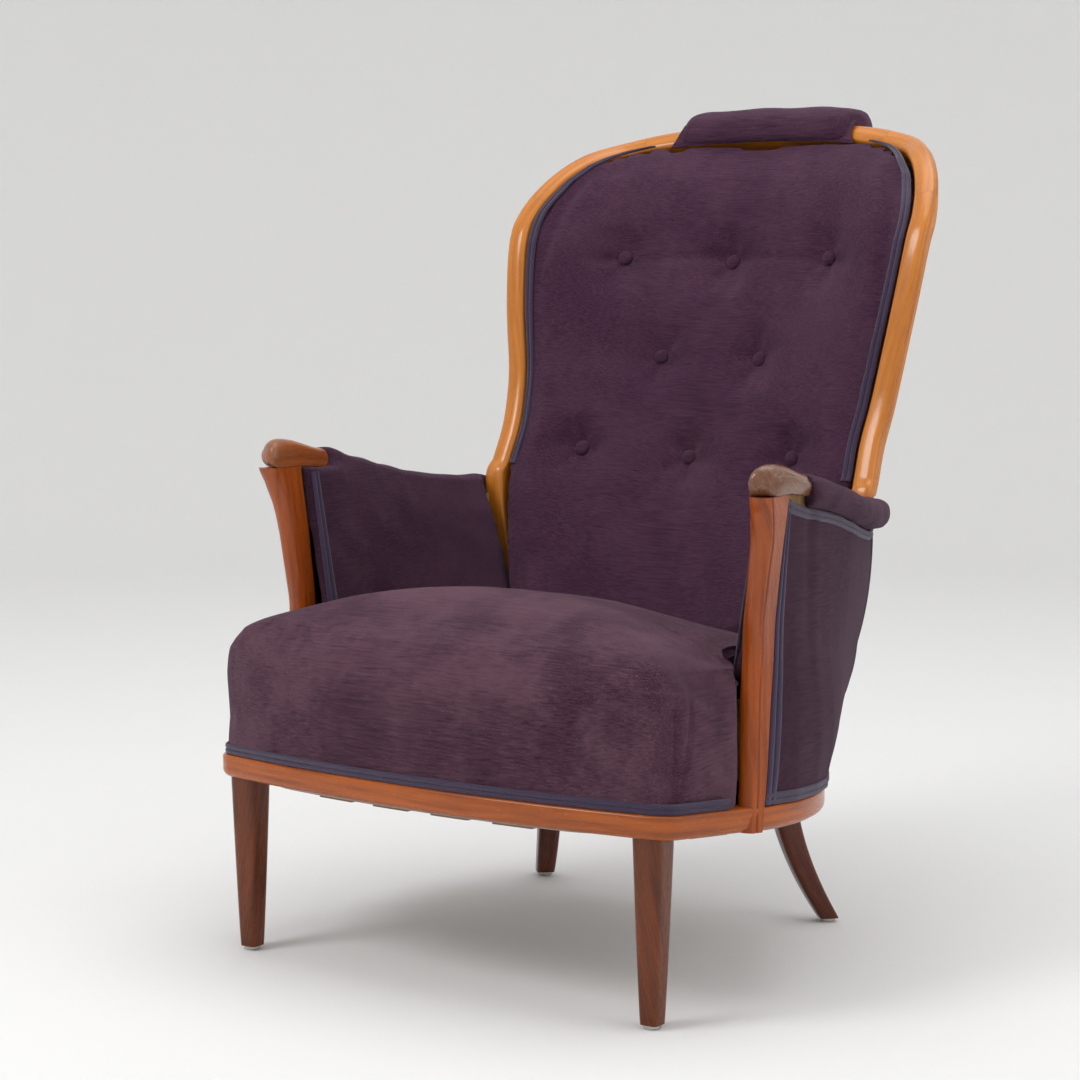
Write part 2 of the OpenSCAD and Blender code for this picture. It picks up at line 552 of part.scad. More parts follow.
// Straps of the back, from the cross rail to the top rail
strap_columns = [-0.38, 0, 0.38];
function strap_place(t, x, out) = let (
    low = [x, frame_place(2).y + cross_set + cross_lean * cross_h * 0.8 - 2 * web_t, cross_z + cross_h * 0.8],
    high = [x, back_line(0.94) + back_pad_t - back_full + web_t, back_z(0.94)])
  lerp(low, high, t) + [0, out, 0];
module back_straps_body() for (c = strap_columns) let (x = c * shoulder_x, h = web_w / 2)
  loft([for (t = [0, 1]) [strap_place(t, x - h, 0), strap_place(t, x + h, 0),
    strap_place(t, x + h, web_t), strap_place(t, x - h, web_t)]]);

// Outside arm cover: a sheet from the rail's top to the roll, wrapping the rear corner
cover_angle_front = -toe_out + 1;
cover_angle_back = 62;
cover_in = 3;
cover_list = concat(
  [for (i = [0 : 4]) let (a = lerp(cover_angle_front, turn_in, i / 4))
    concat(side_c + side_bend_r * polar(a), a)],
  [for (i = [1 : 2]) concat(lerp(side_end, flat(rear_start), i / 3), turn_in)],
  [for (i = [0 : 2]) let (a = lerp(turn_in, cover_angle_back, i / 2))
    concat(rear_c + rear_corner_r * polar(a), a)]);
function cover_low(u) = let (p = inset(on_list(cover_list, u), cover_in))
  [p.x, p.y, top_of_rail(p.y)];
cover_reach = 1.02;
function cover_high(u) = let (a = lerp(0, cover_reach, u))
  arm_point(a, cover_line - narrow(a), arm_crest(a) - roll_d - 2 * soft_gap);
// How fast the cover flares out over the rail, and how soon behind the post
flare = 2.4;
flare_ease = 0.4;
// Fullness of the cover just over the rail, and the share of its height that it reaches
cover_full = 12;
cover_full_share = 0.5;
function cover_corner(t) = let (low = cover_low(0), high = cover_high(0), z = lerp(low.z, high.z, t),
    s = (z - under(post_foot.y)) / (arm_joint_z - under(post_foot.y)))
  [post_outer_x(s) - 0.1 * post_width(s) + post_slant(s) * post_depth(s) / 2,
    post_back_y(s) + 5 * soft_gap, z];
function cover_at(u, t) = let (low = cover_low(u), high = cover_high(u),
    f = lerp(t, 1 - pow(1 - t, flare), pow(u, flare_ease)),
    flat_place = lerp(cover_low(0), cover_high(0), t), push = cover_corner(t) - flat_place,
    full = cover_full * pow(u, flare_ease) * sin(180 * min(t / cover_full_share, 1)),
    out = polar(on_list(cover_list, u)[2]))
  [lerp(low.x, high.x, f) + full * out.x, lerp(low.y, high.y, f) + full * out.y, lerp(low.z, high.z, t)]
    + pow(1 - u, 1.6) * [push.x, push.y, 0];
function cover_normal(u, t) = let (e = 0.02, u0 = clamp(u, e, 1 - e), t0 = clamp(t, e, 1 - e))
  unit(cross(cover_at(u0 + e, t0) - cover_at(u0 - e, t0), cover_at(u0, t0 + e) - cover_at(u0, t0 - e)));
cover_columns = [0, 0.028, 0.1, 0.2, 0.3, 0.4, 0.5, 0.6, 0.7, 0.8, 0.88, 0.94, 1];
cover_rows = [0, 0.044, 0.13, 0.25, 0.4, 0.56, 0.74, 0.956, 1];
// A sheet between two grids of points, with a strip of faces along each of its four edges
module sheet_body(outer, inner) {
  m = len(outer);
  n = len(outer[0]);
  k = m * n;
  points = concat([for (r = outer) each r], [for (r = inner) each r]);
  skins = [for (i = [0 : m - 2], j = [0 : n - 2]) let (a = i * n + j, c = a + n)
    each [[a, c, a + 1], [a + 1, c, c + 1], [k + a, k + a + 1, k + c], [k + a + 1, k + c + 1, k + c]]];
  ends = [for (j = [0 : n - 2]) let (a = j, c = (m - 1) * n + j)
    each [[a, a + 1, k + a + 1], [a, k + a + 1, k + a], [c, k + c, c + 1], [c + 1, k + c, k + c + 1]]];
  sides = [for (i = [0 : m - 2]) let (a = i * n, c = a + n, b = a + n - 1, d = b + n)
    each [[a, k + a, c], [c, k + a, k + c], [b, d, k + b], [d, k + d, k + b]]];
  polyhedron(points = points, faces = right_way(points, concat(skins, ends, sides)), convexity = 6);
}
module outside_arm_body() sheet_body(
  [for (u = cover_columns) [for (t = cover_rows) cover_at(u, t)]],
  [for (u = cover_columns) [for (t = cover_rows) cover_at(u, t) - cover_t * cover_normal(u, t)]]);

// Arm pad: the inside face, the top and the roll, cut to the arm rail and the frame
function pad_section(u, low) = let (c = arm_crest(u), h = c - low, o = cover_out + roll_out,
    lean = lerp(pad_lean_front, pad_lean_back, clamp(u, 0, 1)), r = roll_d, t = arm_pad_t,
    in_side = -arm_rail_in - soft_gap - narrow(u), out_side = arm_rail_out + soft_gap - narrow(u))
  concat(
    [[-pad_in - lean * h + t, -h], [-pad_in - lean * h, -h], [-pad_in - lean * h * 0.55, -h * 0.55],
      [-pad_in - lean * h * 0.2, -h * 0.2]],
    u < tail_share ? let (d = c - tongue_low(u) + soft_gap)
      [[-pad_in - lean * d, -d], [in_side, -d], [in_side, -d * 1.4]]
    : [[-pad_in * 0.97, -r * 0.36], [-pad_in * 0.8, -r * 0.13], [-pad_in * 0.35, -r * 0.02], [0, 0],
      [cover_out, -r * 0.05], [o * 0.8, -r * 0.18], [o * 0.97, -r * 0.42], [o * 0.98, -r * 0.68],
      [o * 0.82, -r * 0.93], [cover_line + soft_gap - narrow(u), -r], [out_side, -r], [out_side, -r * 0.7]],
    [[out_side, -rail_under_d + soft_gap], [in_side, -rail_under_d + soft_gap],
      [in_side, -rail_under_d - arm_rail_h]]);
function pad_ring(u, low) = [for (q = pad_section(u, low)) arm_point(u, q.x, arm_crest(u) + q.y)];
// The front end of the pad follows the back of the post
function by_post(p, u) = let (o = arm_out(u),
    d = max(post_back_y(post_share(p.z)) + 6 * soft_gap + pad_ease * u - p.y, 0))
  p + d * [-o.y / o.x, 1, 0];
pad_ease = 110;
// Depth of the seam where the pad's pieces run into each other
seam = 0.6;
inner_steps = [0.01, 0.06, 0.11, tail_share - 0.002, tail_share + 0.003, tail_share + 0.03];
module arm_pad_inner() loft([for (u = inner_steps)
  let (c = arm_crest(u), low = pad_low(u), top = tongue_low(min(u, tail_share)) - soft_gap, h = c - low,
    lean = lerp(pad_lean_front, pad_lean_back, u), d = c - top, e = u > tail_share ? seam : 0,
    rear = [-arm_rail_in - soft_gap - narrow(u) - e, -d - arm_rail_h],
    foot = [-pad_in - lean * h + arm_pad_t - e, -h + e])
  [for (q = [foot, [-pad_in - lean * h + e, -h + e], [-pad_in - lean * h * 0.6 + e, -h * 0.6],
      [-pad_in - lean * h * 0.3 + e, -h * 0.3], [-pad_in - lean * d + e, -d - e], [rear.x, -d - e], rear,
      lerp(rear, foot, 0.33), lerp(rear, foot, 0.66)])
    by_post(arm_point(u, q.x, c + q.y), u)]], bent_start = true);
pad_steps = [0.22, 0.3, 0.4, 0.5, 0.6, 0.7, 0.8, 0.88, 0.94, 0.975];
module arm_pad_main() loft([for (u = concat([tail_share + 0.004],
  [for (v = pad_steps) if (v > tail_share + 0.02) v])) pad_ring(u, pad_low(u))]);
// The roll's end runs past the outside of the frame: share of the run, share of its fullness
roll_ends_list = [[0.96, 0.8], [0.986, 1], [1.01, 0.98], [1.03, 0.88], [1.045, 0.66], [1.056, 0.34]];
// Outline of the roll's end: share of its reach outwards, but never inside the frame's edge,
// and share of the roll's depth
roll_end_outline = [[-1, -0.5], [-1, -0.04], [0.45, -0.06], [0.8, -0.18], [0.97, -0.42], [0.98, -0.68],
  [0.82, -0.93], [0.43, -1], [-1, -0.98]];
function roll_in(u) = soft_gap + max(arm_rail_out + soft_gap - narrow(u),
  (frame_place(3).x + frame_w / 2 + 3 * soft_gap - arm_place(u).x) / arm_out(u).x);
module arm_roll_end() loft([for (e = roll_ends_list) let (u = e[0], a = roll_in(u), b = cover_out + roll_out,
    mid = [(a + b) / 2, -0.5])
  [for (q = roll_end_outline) let (r = lerp(mid, [max(a, b * q.x), q.y], e[1]))
    arm_point(u, r.x, arm_crest(u) + roll_d * r.y)]]);
module arm_pad() {
  arm_pad_inner();
  arm_pad_main();
  arm_roll_end();
}
module arm_rail() difference() {
  arm_rail_body();
  post_body();
  frame_body(stile_list);
}

// Seat: sprung pad with a border, notched behind the posts
hess_z = seat_crown_z - border_h * hess_share;
hess_t = 1.5;
hess_up = 2;
seat_in = 7;
notch_gap = 1;
function notch_low(y) = pad_low_z - fall(y);
post_rise = arm_joint_z - under(post_foot.y);
function post_share(z) = clamp((z - under(post_foot.y)) / post_rise, 0, 1);
// Stations of the seat's outline at a height: place, outward angle, and 1 where it is notched
notch_shares = [0.03, 0.12, 0.22, 0.33, 0.44, 0.55, 0.65, 0.73];
function seat_half(z) = let (s = post_share(z), w = post_width(s), x1 = post_outer_x(s),
    y1 = post_front_y(s) - notch_gap,
    fr = [for (s = part_of_ring(-90, -toe_out)) if (s[1] < post_line) s],
    q = [for (u = notch_shares) let (zz = max(z, notch_low(arm_y(u))),
        p = arm_point(u, inner_out(u, zz) - 2 * soft_gap, zz), a = arm_out(u))
      [p.x, p.y, atan2(a.y, a.x), 1]])
  concat(
    [for (p = fr) [p[0], p[1], p[2], 0]],
    [concat(lerp(corner_end, [x1 - w * 0.62, y1 - w * 0.2], 0.6), [-6, 0])],
    [[x1 - w * 0.62, y1 - w * 0.2, 25, 0]],
    [[lerp(q[0].x, x1 - w, 0.6), y1, 75, 1]],
    [[q[0].x, max(y1, q[0].y - w * 0.8), 40, 1]],
    q,
    [[q[7].x - seat_corner * 0.3, q[7].y + seat_corner * 0.5, 50, 1],
      [q[7].x - seat_corner, q[7].y + seat_corner * 0.75, 80, 1],
      [q[7].x * 0.5, q[7].y + seat_corner * 0.85, 90, 1]],
    [[0, q[7].y + seat_corner * 0.9, 90, 1]]);
seat_front_list = [for (s = part_of_ring(-90, -toe_out)) if (s[1] < post_line) s];
seat_corner = 26;
ring_side = lerp(corner_end, post_stand, 0.7);
function seat_loop(z) = let (h = seat_half(z), n = len(h) - 1)
  concat(h, [for (i = [n - 1 : -1 : 1]) [-h[i][0], h[i][1], 180 - h[i][2], h[i][3]]]);
function seat_low(p) = p[3] < 0.5 ? top_of_rail(p[1]) + soft_gap : notch_low(p[1]);
function seat_edge(p) = p[3] < 0.5 ? top_of_rail(p[1]) + border_h : notch_low(p[1]) + seat_edge_round;
// Levels of the border: share up the border, fullness as a share
border_levels = [[0, 0], [0.25, 0.6], [0.55, 1], [0.8, 0.75], [1, -0.9]];
// Levels over the edge: inset as a share of the rounding, share of the way up to the crown
edge_levels = [[0.45, 0.16], [1, 0.3]];
// Levels of the crown: share of the way out, share of the way up
crown_levels = [[0.8, 0.52], [0.6, 0.74], [0.38, 0.91], [0.17, 0.985]];
function seat_ring(q, ins, up) = let (z_look = lerp(top_of_rail(post_foot.y), rail_z + rail_h + border_h, q))
  [for (p = seat_loop(z_look)) let (e = seat_edge(p), xy = inset(p, ins))
    [xy.x, xy.y, up > 0 ? lerp(e, seat_crown_z - fall(xy.y), up) : lerp(seat_low(p), e, q)]];
module seat_body() {
  outer = concat(
    [for (c = [len(crown_levels) - 1 : -1 : 0])
      let (r = seat_ring(1.12, seat_in + seat_edge_round, crown_levels[c][1]))
        [for (p = r) let (g = crown_levels[c][0], xy = lerp(seat_middle, flat(p), g))
          [xy.x, xy.y, p.z + (1 - g) * fall(p.y) * crown_levels[c][1]]]],
    [for (c = [len(edge_levels) - 1 : -1 : 0])
      seat_ring(1.1, seat_in + seat_edge_round * edge_levels[c][0], edge_levels[c][1])],
    [for (c = [len(border_levels) - 1 : -1 : 0])
      seat_ring(border_levels[c][0], seat_in - border_full * border_levels[c][1], 0)]);
  floor_in = tack_in - 2 * soft_gap;
  inner = [
    [for (p = seat_loop(rail_z)) let (xy = inset(p, floor_in)) [xy.x, xy.y, seat_low(p)]],
    [for (p = seat_loop(rail_z)) let (xy = inset(p, floor_in + soft_gap))
      [xy.x, xy.y, p[3] < 0.5 ? seat_low(p) + tack_h + soft_gap : notch_low(p[1]) + soft_gap]],
    [for (p = seat_loop(rail_z)) let (xy = inset(p, hess_rim - hess_up))
      [xy.x, xy.y, p[3] < 0.5 ? seat_low(p) + tack_h + 2 * hess_up : notch_low(p[1]) + 2 * soft_gap]],
    [for (p = seat_loop(rail_z)) let (xy = inset(p, hess_far - 2 * hess_up))
      [xy.x, xy.y, hess_at(xy.y) + 3 * hess_up]],
    [for (p = seat_loop(rail_z)) let (xy = lerp(seat_middle, inset(p, hess_far), 0.5))
      [xy.x, xy.y, hess_at(xy.y) + 3 * hess_up]]
  ];
  pillow(concat(outer, inner), [seat_middle.x, seat_middle.y, seat_crown_z],
    [seat_middle.x, seat_middle.y, hess_z + 4 * hess_up]);
}

// Hessian over the springs, tacked to the tack frame
function closed_ring(list) = concat(list, [for (i = [len(list) - 2 : -1 : 1]) mirrored(list[i])]);
hess_list = closed_ring([for (i = [0 : 2 : len(ring) - 1]) ring[i]]);
hess_rim = tack_in + tack_t * 0.4;
hess_far = tack_in * 3.7;
// Reach of the hollow that the hessian leaves round the posts and the stiles, and its depth
hess_reach = 40;
stile_stand = [frame_place(0).x + frame_w / 2, frame_place(0).y + frame_d / 2];
hess_hollow = 32;
function hess_at(y) = hess_z - hess_fall_share * fall(y);
function hess_clear(s) = let (p = [abs(s[0]), s[1]]) hess_hollow
  * max(exp(-pow(norm(p - post_stand) / hess_reach, 2)), exp(-pow(norm(p - stile_stand) / hess_reach, 2)));
// Rings of the level part, as shares of the way out from the seat's middle
hess_out_share = 0.82;
hess_in_share = 0.57;
function hess_level(g, up) = [for (s = hess_list)
  let (p = lerp(seat_middle, inset(s, hess_rim + hess_clear(s)), g)) [p.x, p.y, hess_at(p.y) + up]];
function hess_edge(up) = [for (s = hess_list) let (p = inset(s, hess_rim + hess_clear(s)))
  [p.x, p.y, top_of_rail(p.y) + tack_h + up]];
module hessian_body() pillow([hess_level(hess_in_share, hess_up), hess_level(hess_out_share, 0),
    hess_edge(soft_gap + hess_t), hess_edge(soft_gap),
    hess_level(hess_out_share, -hess_t), hess_level(hess_in_share, hess_up - hess_t)],
  [seat_middle.x, seat_middle.y, hess_z + hess_up],
  [seat_middle.x, seat_middle.y, hess_z + hess_up - hess_t]);

// Seat springs: waisted coils standing on the webbing
spring_parts = 6;
spring_sides = 4;
// Gaps between a spring and the webbing under it, and the hessian over it
spring_foot = 0;
spring_head = 0.6;
function spring_low(y) = under(y) + spring_foot;
module spring(x, y) {
  n = spring_turns * spring_parts;
  h = hess_at(y) - hess_t - spring_head - spring_low(y) - spring_wire * 0.5;
  loft([for (i = [0 : n]) let (s = i / n, a = 360 * spring_turns * s, waist = 1 - pow(2 * s - 1, 2),
      r = lerp(spring_d, spring_waist_d, waist) / 2 - spring_wire / 2,
      z = spring_low(y) + spring_wire * 0.5 + h * clamp((s - 0.07) / 0.86, 0, 1))
    [for (k = [0 : spring_sides - 1]) let (b = 360 * k / spring_sides + 45,
        rr = r + spring_wire / 2 * cos(b),
        lean = lerp(tan(rail_fall), hess_fall_share * tan(seat_fall), s) * rr * sin(a))
      [x + rr * cos(a), y + rr * sin(a), z - lean + spring_wire / 2 * sin(b)]]]);
}
module springs_body() for (i = [-1 : 1], j = [-1 : 1])
  spring(seat_middle.x + i * spring_pitch, seat_middle.y + spring_set + j * spring_pitch);
spring_set = 38;

// Webbing under the rails, clipped to a ring inside their outer faces
web_in = 14;
module clip_ring() linear_extrude(2 * rail_z, center = true)
  polygon([for (s = closed_ring(ring)) inset(s, web_in)]);
module tilt_strap(x0, x1, y0, y1, up, thick) loft([for (y = [y0, y1])
  [[x0, y, under(y) + up], [x1, y, under(y) + up], [x1, y, under(y) + up + thick],
    [x0, y, under(y) + up + thick]]]);
module webbing_body() intersection() {
  union() {
    for (j = [-1.5 : 1 : 1.5]) let (y = seat_middle.y + spring_set + j * spring_pitch * 0.9)
      tilt_strap(-seat_w, seat_w, y - web_w / 2, y + web_w / 2, -web_t, web_t);
    for (i = [-1.5 : 1 : 1.5]) let (x = i * spring_pitch * 0.7)
      tilt_strap(x - web_w / 2, x + web_w / 2, -seat_d, 2 * seat_d, -2 * web_t - soft_gap, web_t);
  }
  translate([0, 0, rail_z]) clip_ring();
}

// Dust cover: thin cloth under the webbing, notched round the legs and sagging
dust_in = 9;
dust_t = 1.5;
leg_clear = 46;
dust_list = hess_list;
function dust_keep(p) = 1 - 0.2 * sum_near(p);
function sum_near(p) = max([for (c = [front_leg, rear_leg, [-front_leg.x, front_leg.y],
  [-rear_leg.x, rear_leg.y]]) exp(-pow(norm(p - c) / leg_clear, 2))]);
function dust_ring(g, drop) = [for (s = dust_list)
  let (p = inset(s, dust_in), q = lerp(seat_middle, p, g * dust_keep(p)))
    [q.x, q.y, under(q.y) - 2 * web_t - 2 * soft_gap - dust_sag * (1 - g * g) - drop]];
module dust_body() pillow([dust_ring(0.5, 0), dust_ring(1, 0), dust_ring(1, dust_t), dust_ring(0.5, dust_t)],
  [seat_middle.x, seat_middle.y, under(seat_middle.y) - 2 * web_t - 2 * soft_gap - dust_sag],
  [seat_middle.x, seat_middle.y, under(seat_middle.y) - 2 * web_t - 2 * soft_gap - dust_sag - dust_t]);

// Corner blocks inside the rail, and their screws
block_up = 2;
block_h = 22;
front_block = concat(
  [for (s = part_of_ring(-82, -toe_out)) if (s[0] > front_corner_x * 0.8 && s[1] < post_line) s],
  [concat(ring_side, -toe_out)]);
rear_block = concat([concat(lerp(side_end, flat(rear_start), 0.75), turn_in)],
  [for (s = ring) if (s[2] >= turn_in && s[1] > rear_c.y && s[0] > 0) s],
  [[rear_c.x * 0.7, seat_d, 90]]);
module block(list) loft([for (h = [block_up, block_up + block_h])
  [for (s = list) raise(inset(s, rail_t), h)]]);
screw_d = 4;
screw_head_d = 8;
screw_head_h = 2.4;
screw_l = 32;
screw_up = 13;
function block_ends(list) = [inset(list[0], rail_t), inset(list[len(list) - 1], rail_t)];
module screw(p, a) translate(raise(p, screw_up)) rotate([0, 90, a]) {
  cylinder(d = screw_d, h = screw_l, $fn = 8);
  translate([0, 0, -screw_head_h]) cylinder(d = screw_head_d, h = screw_head_h, $fn = 12);
}
module screw_pair(list) {
  e = block_ends(list);
  run = e[1] - e[0];
  for (s = [0.36, 0.62]) screw(lerp(e[0], e[1], s), atan2(-run.x, run.y));
}
dowel_d = 10;
dowel_down = 26;
dowel_up = 12;
module dowel(c) translate([c.x, c.y, under(c.y) - dowel_down])
  cylinder(d = dowel_d, h = dowel_down + dowel_up, $fn = 16);

// Foot glides: a domed disc with a nail, under each leg
glide_nail_h = 14;
module glide(c) translate([c.x, c.y, 0]) {
  cylinder(d1 = glide_d * 0.86, d2 = glide_d, h = glide_h * 0.4, $fn = 24);
  translate([0, 0, glide_h * 0.4]) cylinder(d = glide_d, h = glide_h * 0.6, $fn = 24);
  translate([0, 0, glide_h / 2]) cylinder(d = glide_nail_d, h = glide_nail_h, $fn = 8);
}

// Outside back: a sheet from the rear rail to the top rail, along the backs of the stiles
outback_low = (top_of_rail(rear_c.y) - back_foot_z) / (back_top_z - back_foot_z);
outback_step = gimp_w / (back_top_z - back_foot_z);
outback_rows = concat([outback_low, outback_low + outback_step], [-0.56, -0.45, -0.35, -0.25, -0.1, 0,
  0.12, 0.28, 0.45, 0.6, 0.71, 0.79, 0.85, 0.883, 0.904, 0.925, 0.948]);
outback_columns = [-1, -0.955, -0.78, -0.52, -0.26, 0, 0.26, 0.52, 0.78, 0.955, 1];
// Middle of the sheet: share of the frame's height, place as a share of the rake
outback_middle = [[-0.71, 0.12], [-0.22, 0.35], [0.154, 0.573], [0.593, 0.878], [0.8, 1], [0.96, 1.12]];
// Rear face of the frame where the sheet is fixed, looked up by its height
function frame_rear(i, out) =
  frame_place(i) + out * frame_wide(i) - (frame_depth(i) + 9 * soft_gap) * frame_face(i);
frame_fix = frame_w * 0.1;
outback_index = [for (i = [0 : 0.5 : frame_end]) [share_of(frame_rear(i, frame_fix).z), i]];
function share_of(z) = (z - back_foot_z) / (back_top_z - back_foot_z);
function index_at(v) = let (k = row_of(outback_index, v), a = outback_index[k], b = outback_index[k + 1])
  lerp(a[1], b[1], clamp((v - a[0]) / (b[0] - a[0]), 0, 1));
low_back_edge = cover_at(1, 0);
function outback_edge(v) = let (e = frame_rear(index_at(v), frame_fix), z = back_z(v),
    top = cover_high(1), t = clamp((z - low_back_edge.z) / (top.z - low_back_edge.z), 0, 1),
    c = cover_at(1, t), g = clamp(v / 0.1 + 1, 0, 1))
  lerp([c.x - soft_gap * 2, c.y + soft_gap, z], [e.x, e.y, z], g * g * (3 - 2 * g));
function outback_at(u, v, out) = let (e = outback_edge(v),
    m = back_foot_y + back_rake * look(outback_middle, v, 1))
  [u * e.x, lerp(m, e.y, pow(abs(u), lerp(4, 2.2, clamp((v + 0.1) * 3, 0, 1)))) + out, back_z(v)];
module outside_back_body() loft([for (v = outback_rows) concat(
  [for (u = outback_columns) outback_at(u, v, 0)],
  [for (k = [len(outback_columns) - 1 : -1 : 0]) outback_at(outback_columns[k], v, cover_t)])]);

// Head roll over the middle of the top rail: distance back and height from the frame's line
head_back = 74;
// Outline of the roll: share of its reach behind the frame, share of its height over the frame
roll_outline = [[-0.324, -0.51], [-0.351, -0.06], [-0.257, 0.5], [-0.027, 0.875], [0.324, 1], [0.676, 0.875],
  [0.905, 0.47], [1, -0.19], [0.96, -0.84], [0.81, -0.94], [0.69, -0.47], [0.405, -0.5]];
// Share of the roll's half width, share of its fullness
roll_ends = [[1.1, 0.05], [1.06, 0.35], [1.02, 0.7], [0.97, 0.92], [0.88, 1], [0.5, 1], [0, 1]];
function roll_ring(x, g) = let (c = frame_place(frame_end),
    drop = head_sink * pow(abs(x) / shoulder_x * 2.3, 2))
  [for (q = roll_outline) let (r = lerp(roll_heart, q, g))
    [x, c.y + r.x * head_back, c.z + r.y * head_up - drop]];
roll_heart = [0.135, -0.4];
head_sink = 5;
module head_roll_body() loft(concat(
  [for (e = roll_ends) roll_ring(-head_x * e[0], e[1])],
  [for (k = [len(roll_ends) - 2 : -1 : 0]) roll_ring(head_x * roll_ends[k][0], roll_ends[k][1])]));
module head_roll() difference() {
  head_roll_body();
  frame_body(top_list, soft_gap);
}

// Buttons: domed discs sewn through the back
module button(b) {
  v = b[1];
  u = shoulder_x * b.x / back_half(v);
  p = back_front(u, v);
  translate(p) rotate([90 + button_tilt, 0, b.x * button_turn]) translate([0, 0, button_set])
    rotate_extrude($fn = 16) polygon([[0, 0], [button_d * 0.36, 0], [button_d * 0.47, button_h * 0.2],
      [button_d * 0.5, button_h * 0.42], [button_d * 0.43, button_h * 0.72],
      [button_d * 0.25, button_h * 0.94], [0, button_h]]);
}
button_tilt = -22;
button_turn = -16;
button_set = 3;

// Braid: a flat strip whose rings are given by its two edges and the way out from the cloth
strip_gap = 4 * soft_gap;
function strip_ring(a, b, n) = [a + strip_gap * n, b + strip_gap * n, b + (strip_gap + gimp_t) * n,
  a + (strip_gap + gimp_t) * n];
module seat_gimp_body() loft([for (s = there_and_back(concat(seat_front_list,
    [[ring_side.x, ring_side.y, -toe_out]])))
  let (q = inset(s, seat_in - border_full * 0.3), n = polar(s[2]))
    strip_ring(raise(q, rail_h + soft_gap), raise(q, rail_h + soft_gap + gimp_w), [n.x, n.y, 0])]);
module arm_gimp_body() {
  run = norm(cover_at(0.1, 0.5) - cover_at(0, 0.5)) * 10;
  w = gimp_w / run;
  h = gimp_w / (cover_high(0.5).z - cover_low(0.5).z);
  gap = soft_gap * 2;
  loft([for (t = cover_rows) strip_ring(cover_at(0, t), cover_at(w, t), cover_normal(w / 2, t))]);
  e = gap / run;
  loft([for (u = concat([w + e], [for (c = cover_columns) if (c > w + 2 * e) c]))
    strip_ring(cover_at(u, h), cover_at(u, 0), cover_normal(u, h / 2))]);
  loft([for (u = concat([w + e], [for (c = cover_columns) if (c > w + 2 * e) c]))
    strip_ring(cover_at(u, 1), cover_at(u, 1 - h), cover_normal(u, 1 - h / 2))]);
}
module back_gimp_body() {
  rows = [for (v = back_rows) if (v >= 0.05) v];
  both_sides() loft([for (v = rows) let (a = back_front(1, v), b = back_front(0.955, v),
      n = unit(cross(b - a, back_front(0.955, v + 0.01) - b)))
    strip_ring(b, a, n.y < 0 ? n : -n)]);
}
module outback_gimp_body() {
  inner = outback_columns[len(outback_columns) - 2];
  columns = concat([-inner + 0.005], [for (u = outback_columns) if (abs(u) < 0.9) u], [inner - 0.005]);
  loft([for (u = columns) strip_ring(outback_at(u, outback_low, cover_t),
    outback_at(u, outback_low + outback_step, cover_t), [0, 1, 0])]);
  both_sides() loft([for (v = outback_rows)
    strip_ring(outback_at(1, v, cover_t), outback_at(inner, v, cover_t), [0, 1, 0])]);
}

// Places everything with the middle of its footprint at the origin
y_front = min(0, seat_in - border_full);
y_rear = back_foot_y + back_rake + head_back;
module place() translate([0, -(y_front + y_rear) / 2, 0]) children();

module seat_rail_front() color(wood) place() front_rail_body();
module seat_rail_left() color(wood) place() side_rail_body();
module seat_rail_right() color(wood) place() right_side() side_rail_body();
module seat_rail_back() color(wood) place() back_rail_body();
module tack_frame() color(plain_wood) place() tack_body();
module corner_blocks() color(plain_wood) place() both_sides() {
  block(front_block);
  block(rear_block);
}
module block_screws() color(steel) place() both_sides() {
  screw_pair(front_block);
  screw_pair(rear_block);
}
module front_leg_left() color(dark_wood) place() front_leg_body();
module front_leg_right() color(dark_wood) place() right_side() front_leg_body();
module rear_leg_left() color(dark_wood) place() rear_leg_body();
module rear_leg_right() color(dark_wood) place() right_side() rear_leg_body();
module leg_dowels() color(plain_wood) place() both_sides() {
  dowel(front_leg);
  dowel(rear_leg);
}
module foot_glides() color(steel) place() both_sides() {
  glide(front_leg);
  glide(rear_foot);
}
module arm_post_left() color(wood) place() arm_post();
module arm_post_right() color(wood) place() right_side() arm_post();
module arm_knuckle_left() color(worn_wood) place() arm_knuckle();
module arm_knuckle_right() color(worn_wood) place() right_side() arm_knuckle();
module arm_rail_left() color(plain_wood) place() arm_rail();
module arm_rail_right() color(plain_wood) place() right_side() arm_rail();
module back_stile_left() color(wood) place() stile();
module back_stile_right() color(wood) place() right_side() stile();
module back_shoulder_left() color(wood) place() frame_body(shoulder_list);
module back_shoulder_right() color(wood) place() right_side() frame_body(shoulder_list);
module back_top_rail() color(wood) place() frame_body(top_list);
module back_cross_rail() color(plain_wood) place() cross_rail();
module back_webbing() color(jute) place() back_straps_body();
module seat_webbing() color(jute) place() webbing_body();
module seat_springs() color(steel) place() springs_body();
module seat_hessian() color(jute) place() hessian_body();
module seat_cushion() color(cloth) place() seat_body();
module seat_gimp() color(braid) place() seat_gimp_body();
module dust_cover() color(jute) place() dust_body();
module back_cushion() color(cloth) place() back_cushion_body();
module head_roll_pad() color(cloth) place() head_roll();
module back_buttons() color(cloth) place() for (b = button_shares) button(b);
module back_gimp() color(braid) place() back_gimp_body();
module outside_back() color(cloth) place() outside_back_body();
module outside_back_gimp() color(braid) place() outback_gimp_body();
module arm_pad_left() color(cloth) place() arm_pad();
module arm_pad_right() color(cloth) place() right_side() arm_pad();
module outside_arm_left() color(cloth) place() outside_arm_body();
module outside_arm_right() color(cloth) place() right_side() outside_arm_body();
module arm_gimp_left() color(braid) place() arm_gimp_body();
module arm_gimp_right() color(braid) place() right_side() arm_gimp_body();

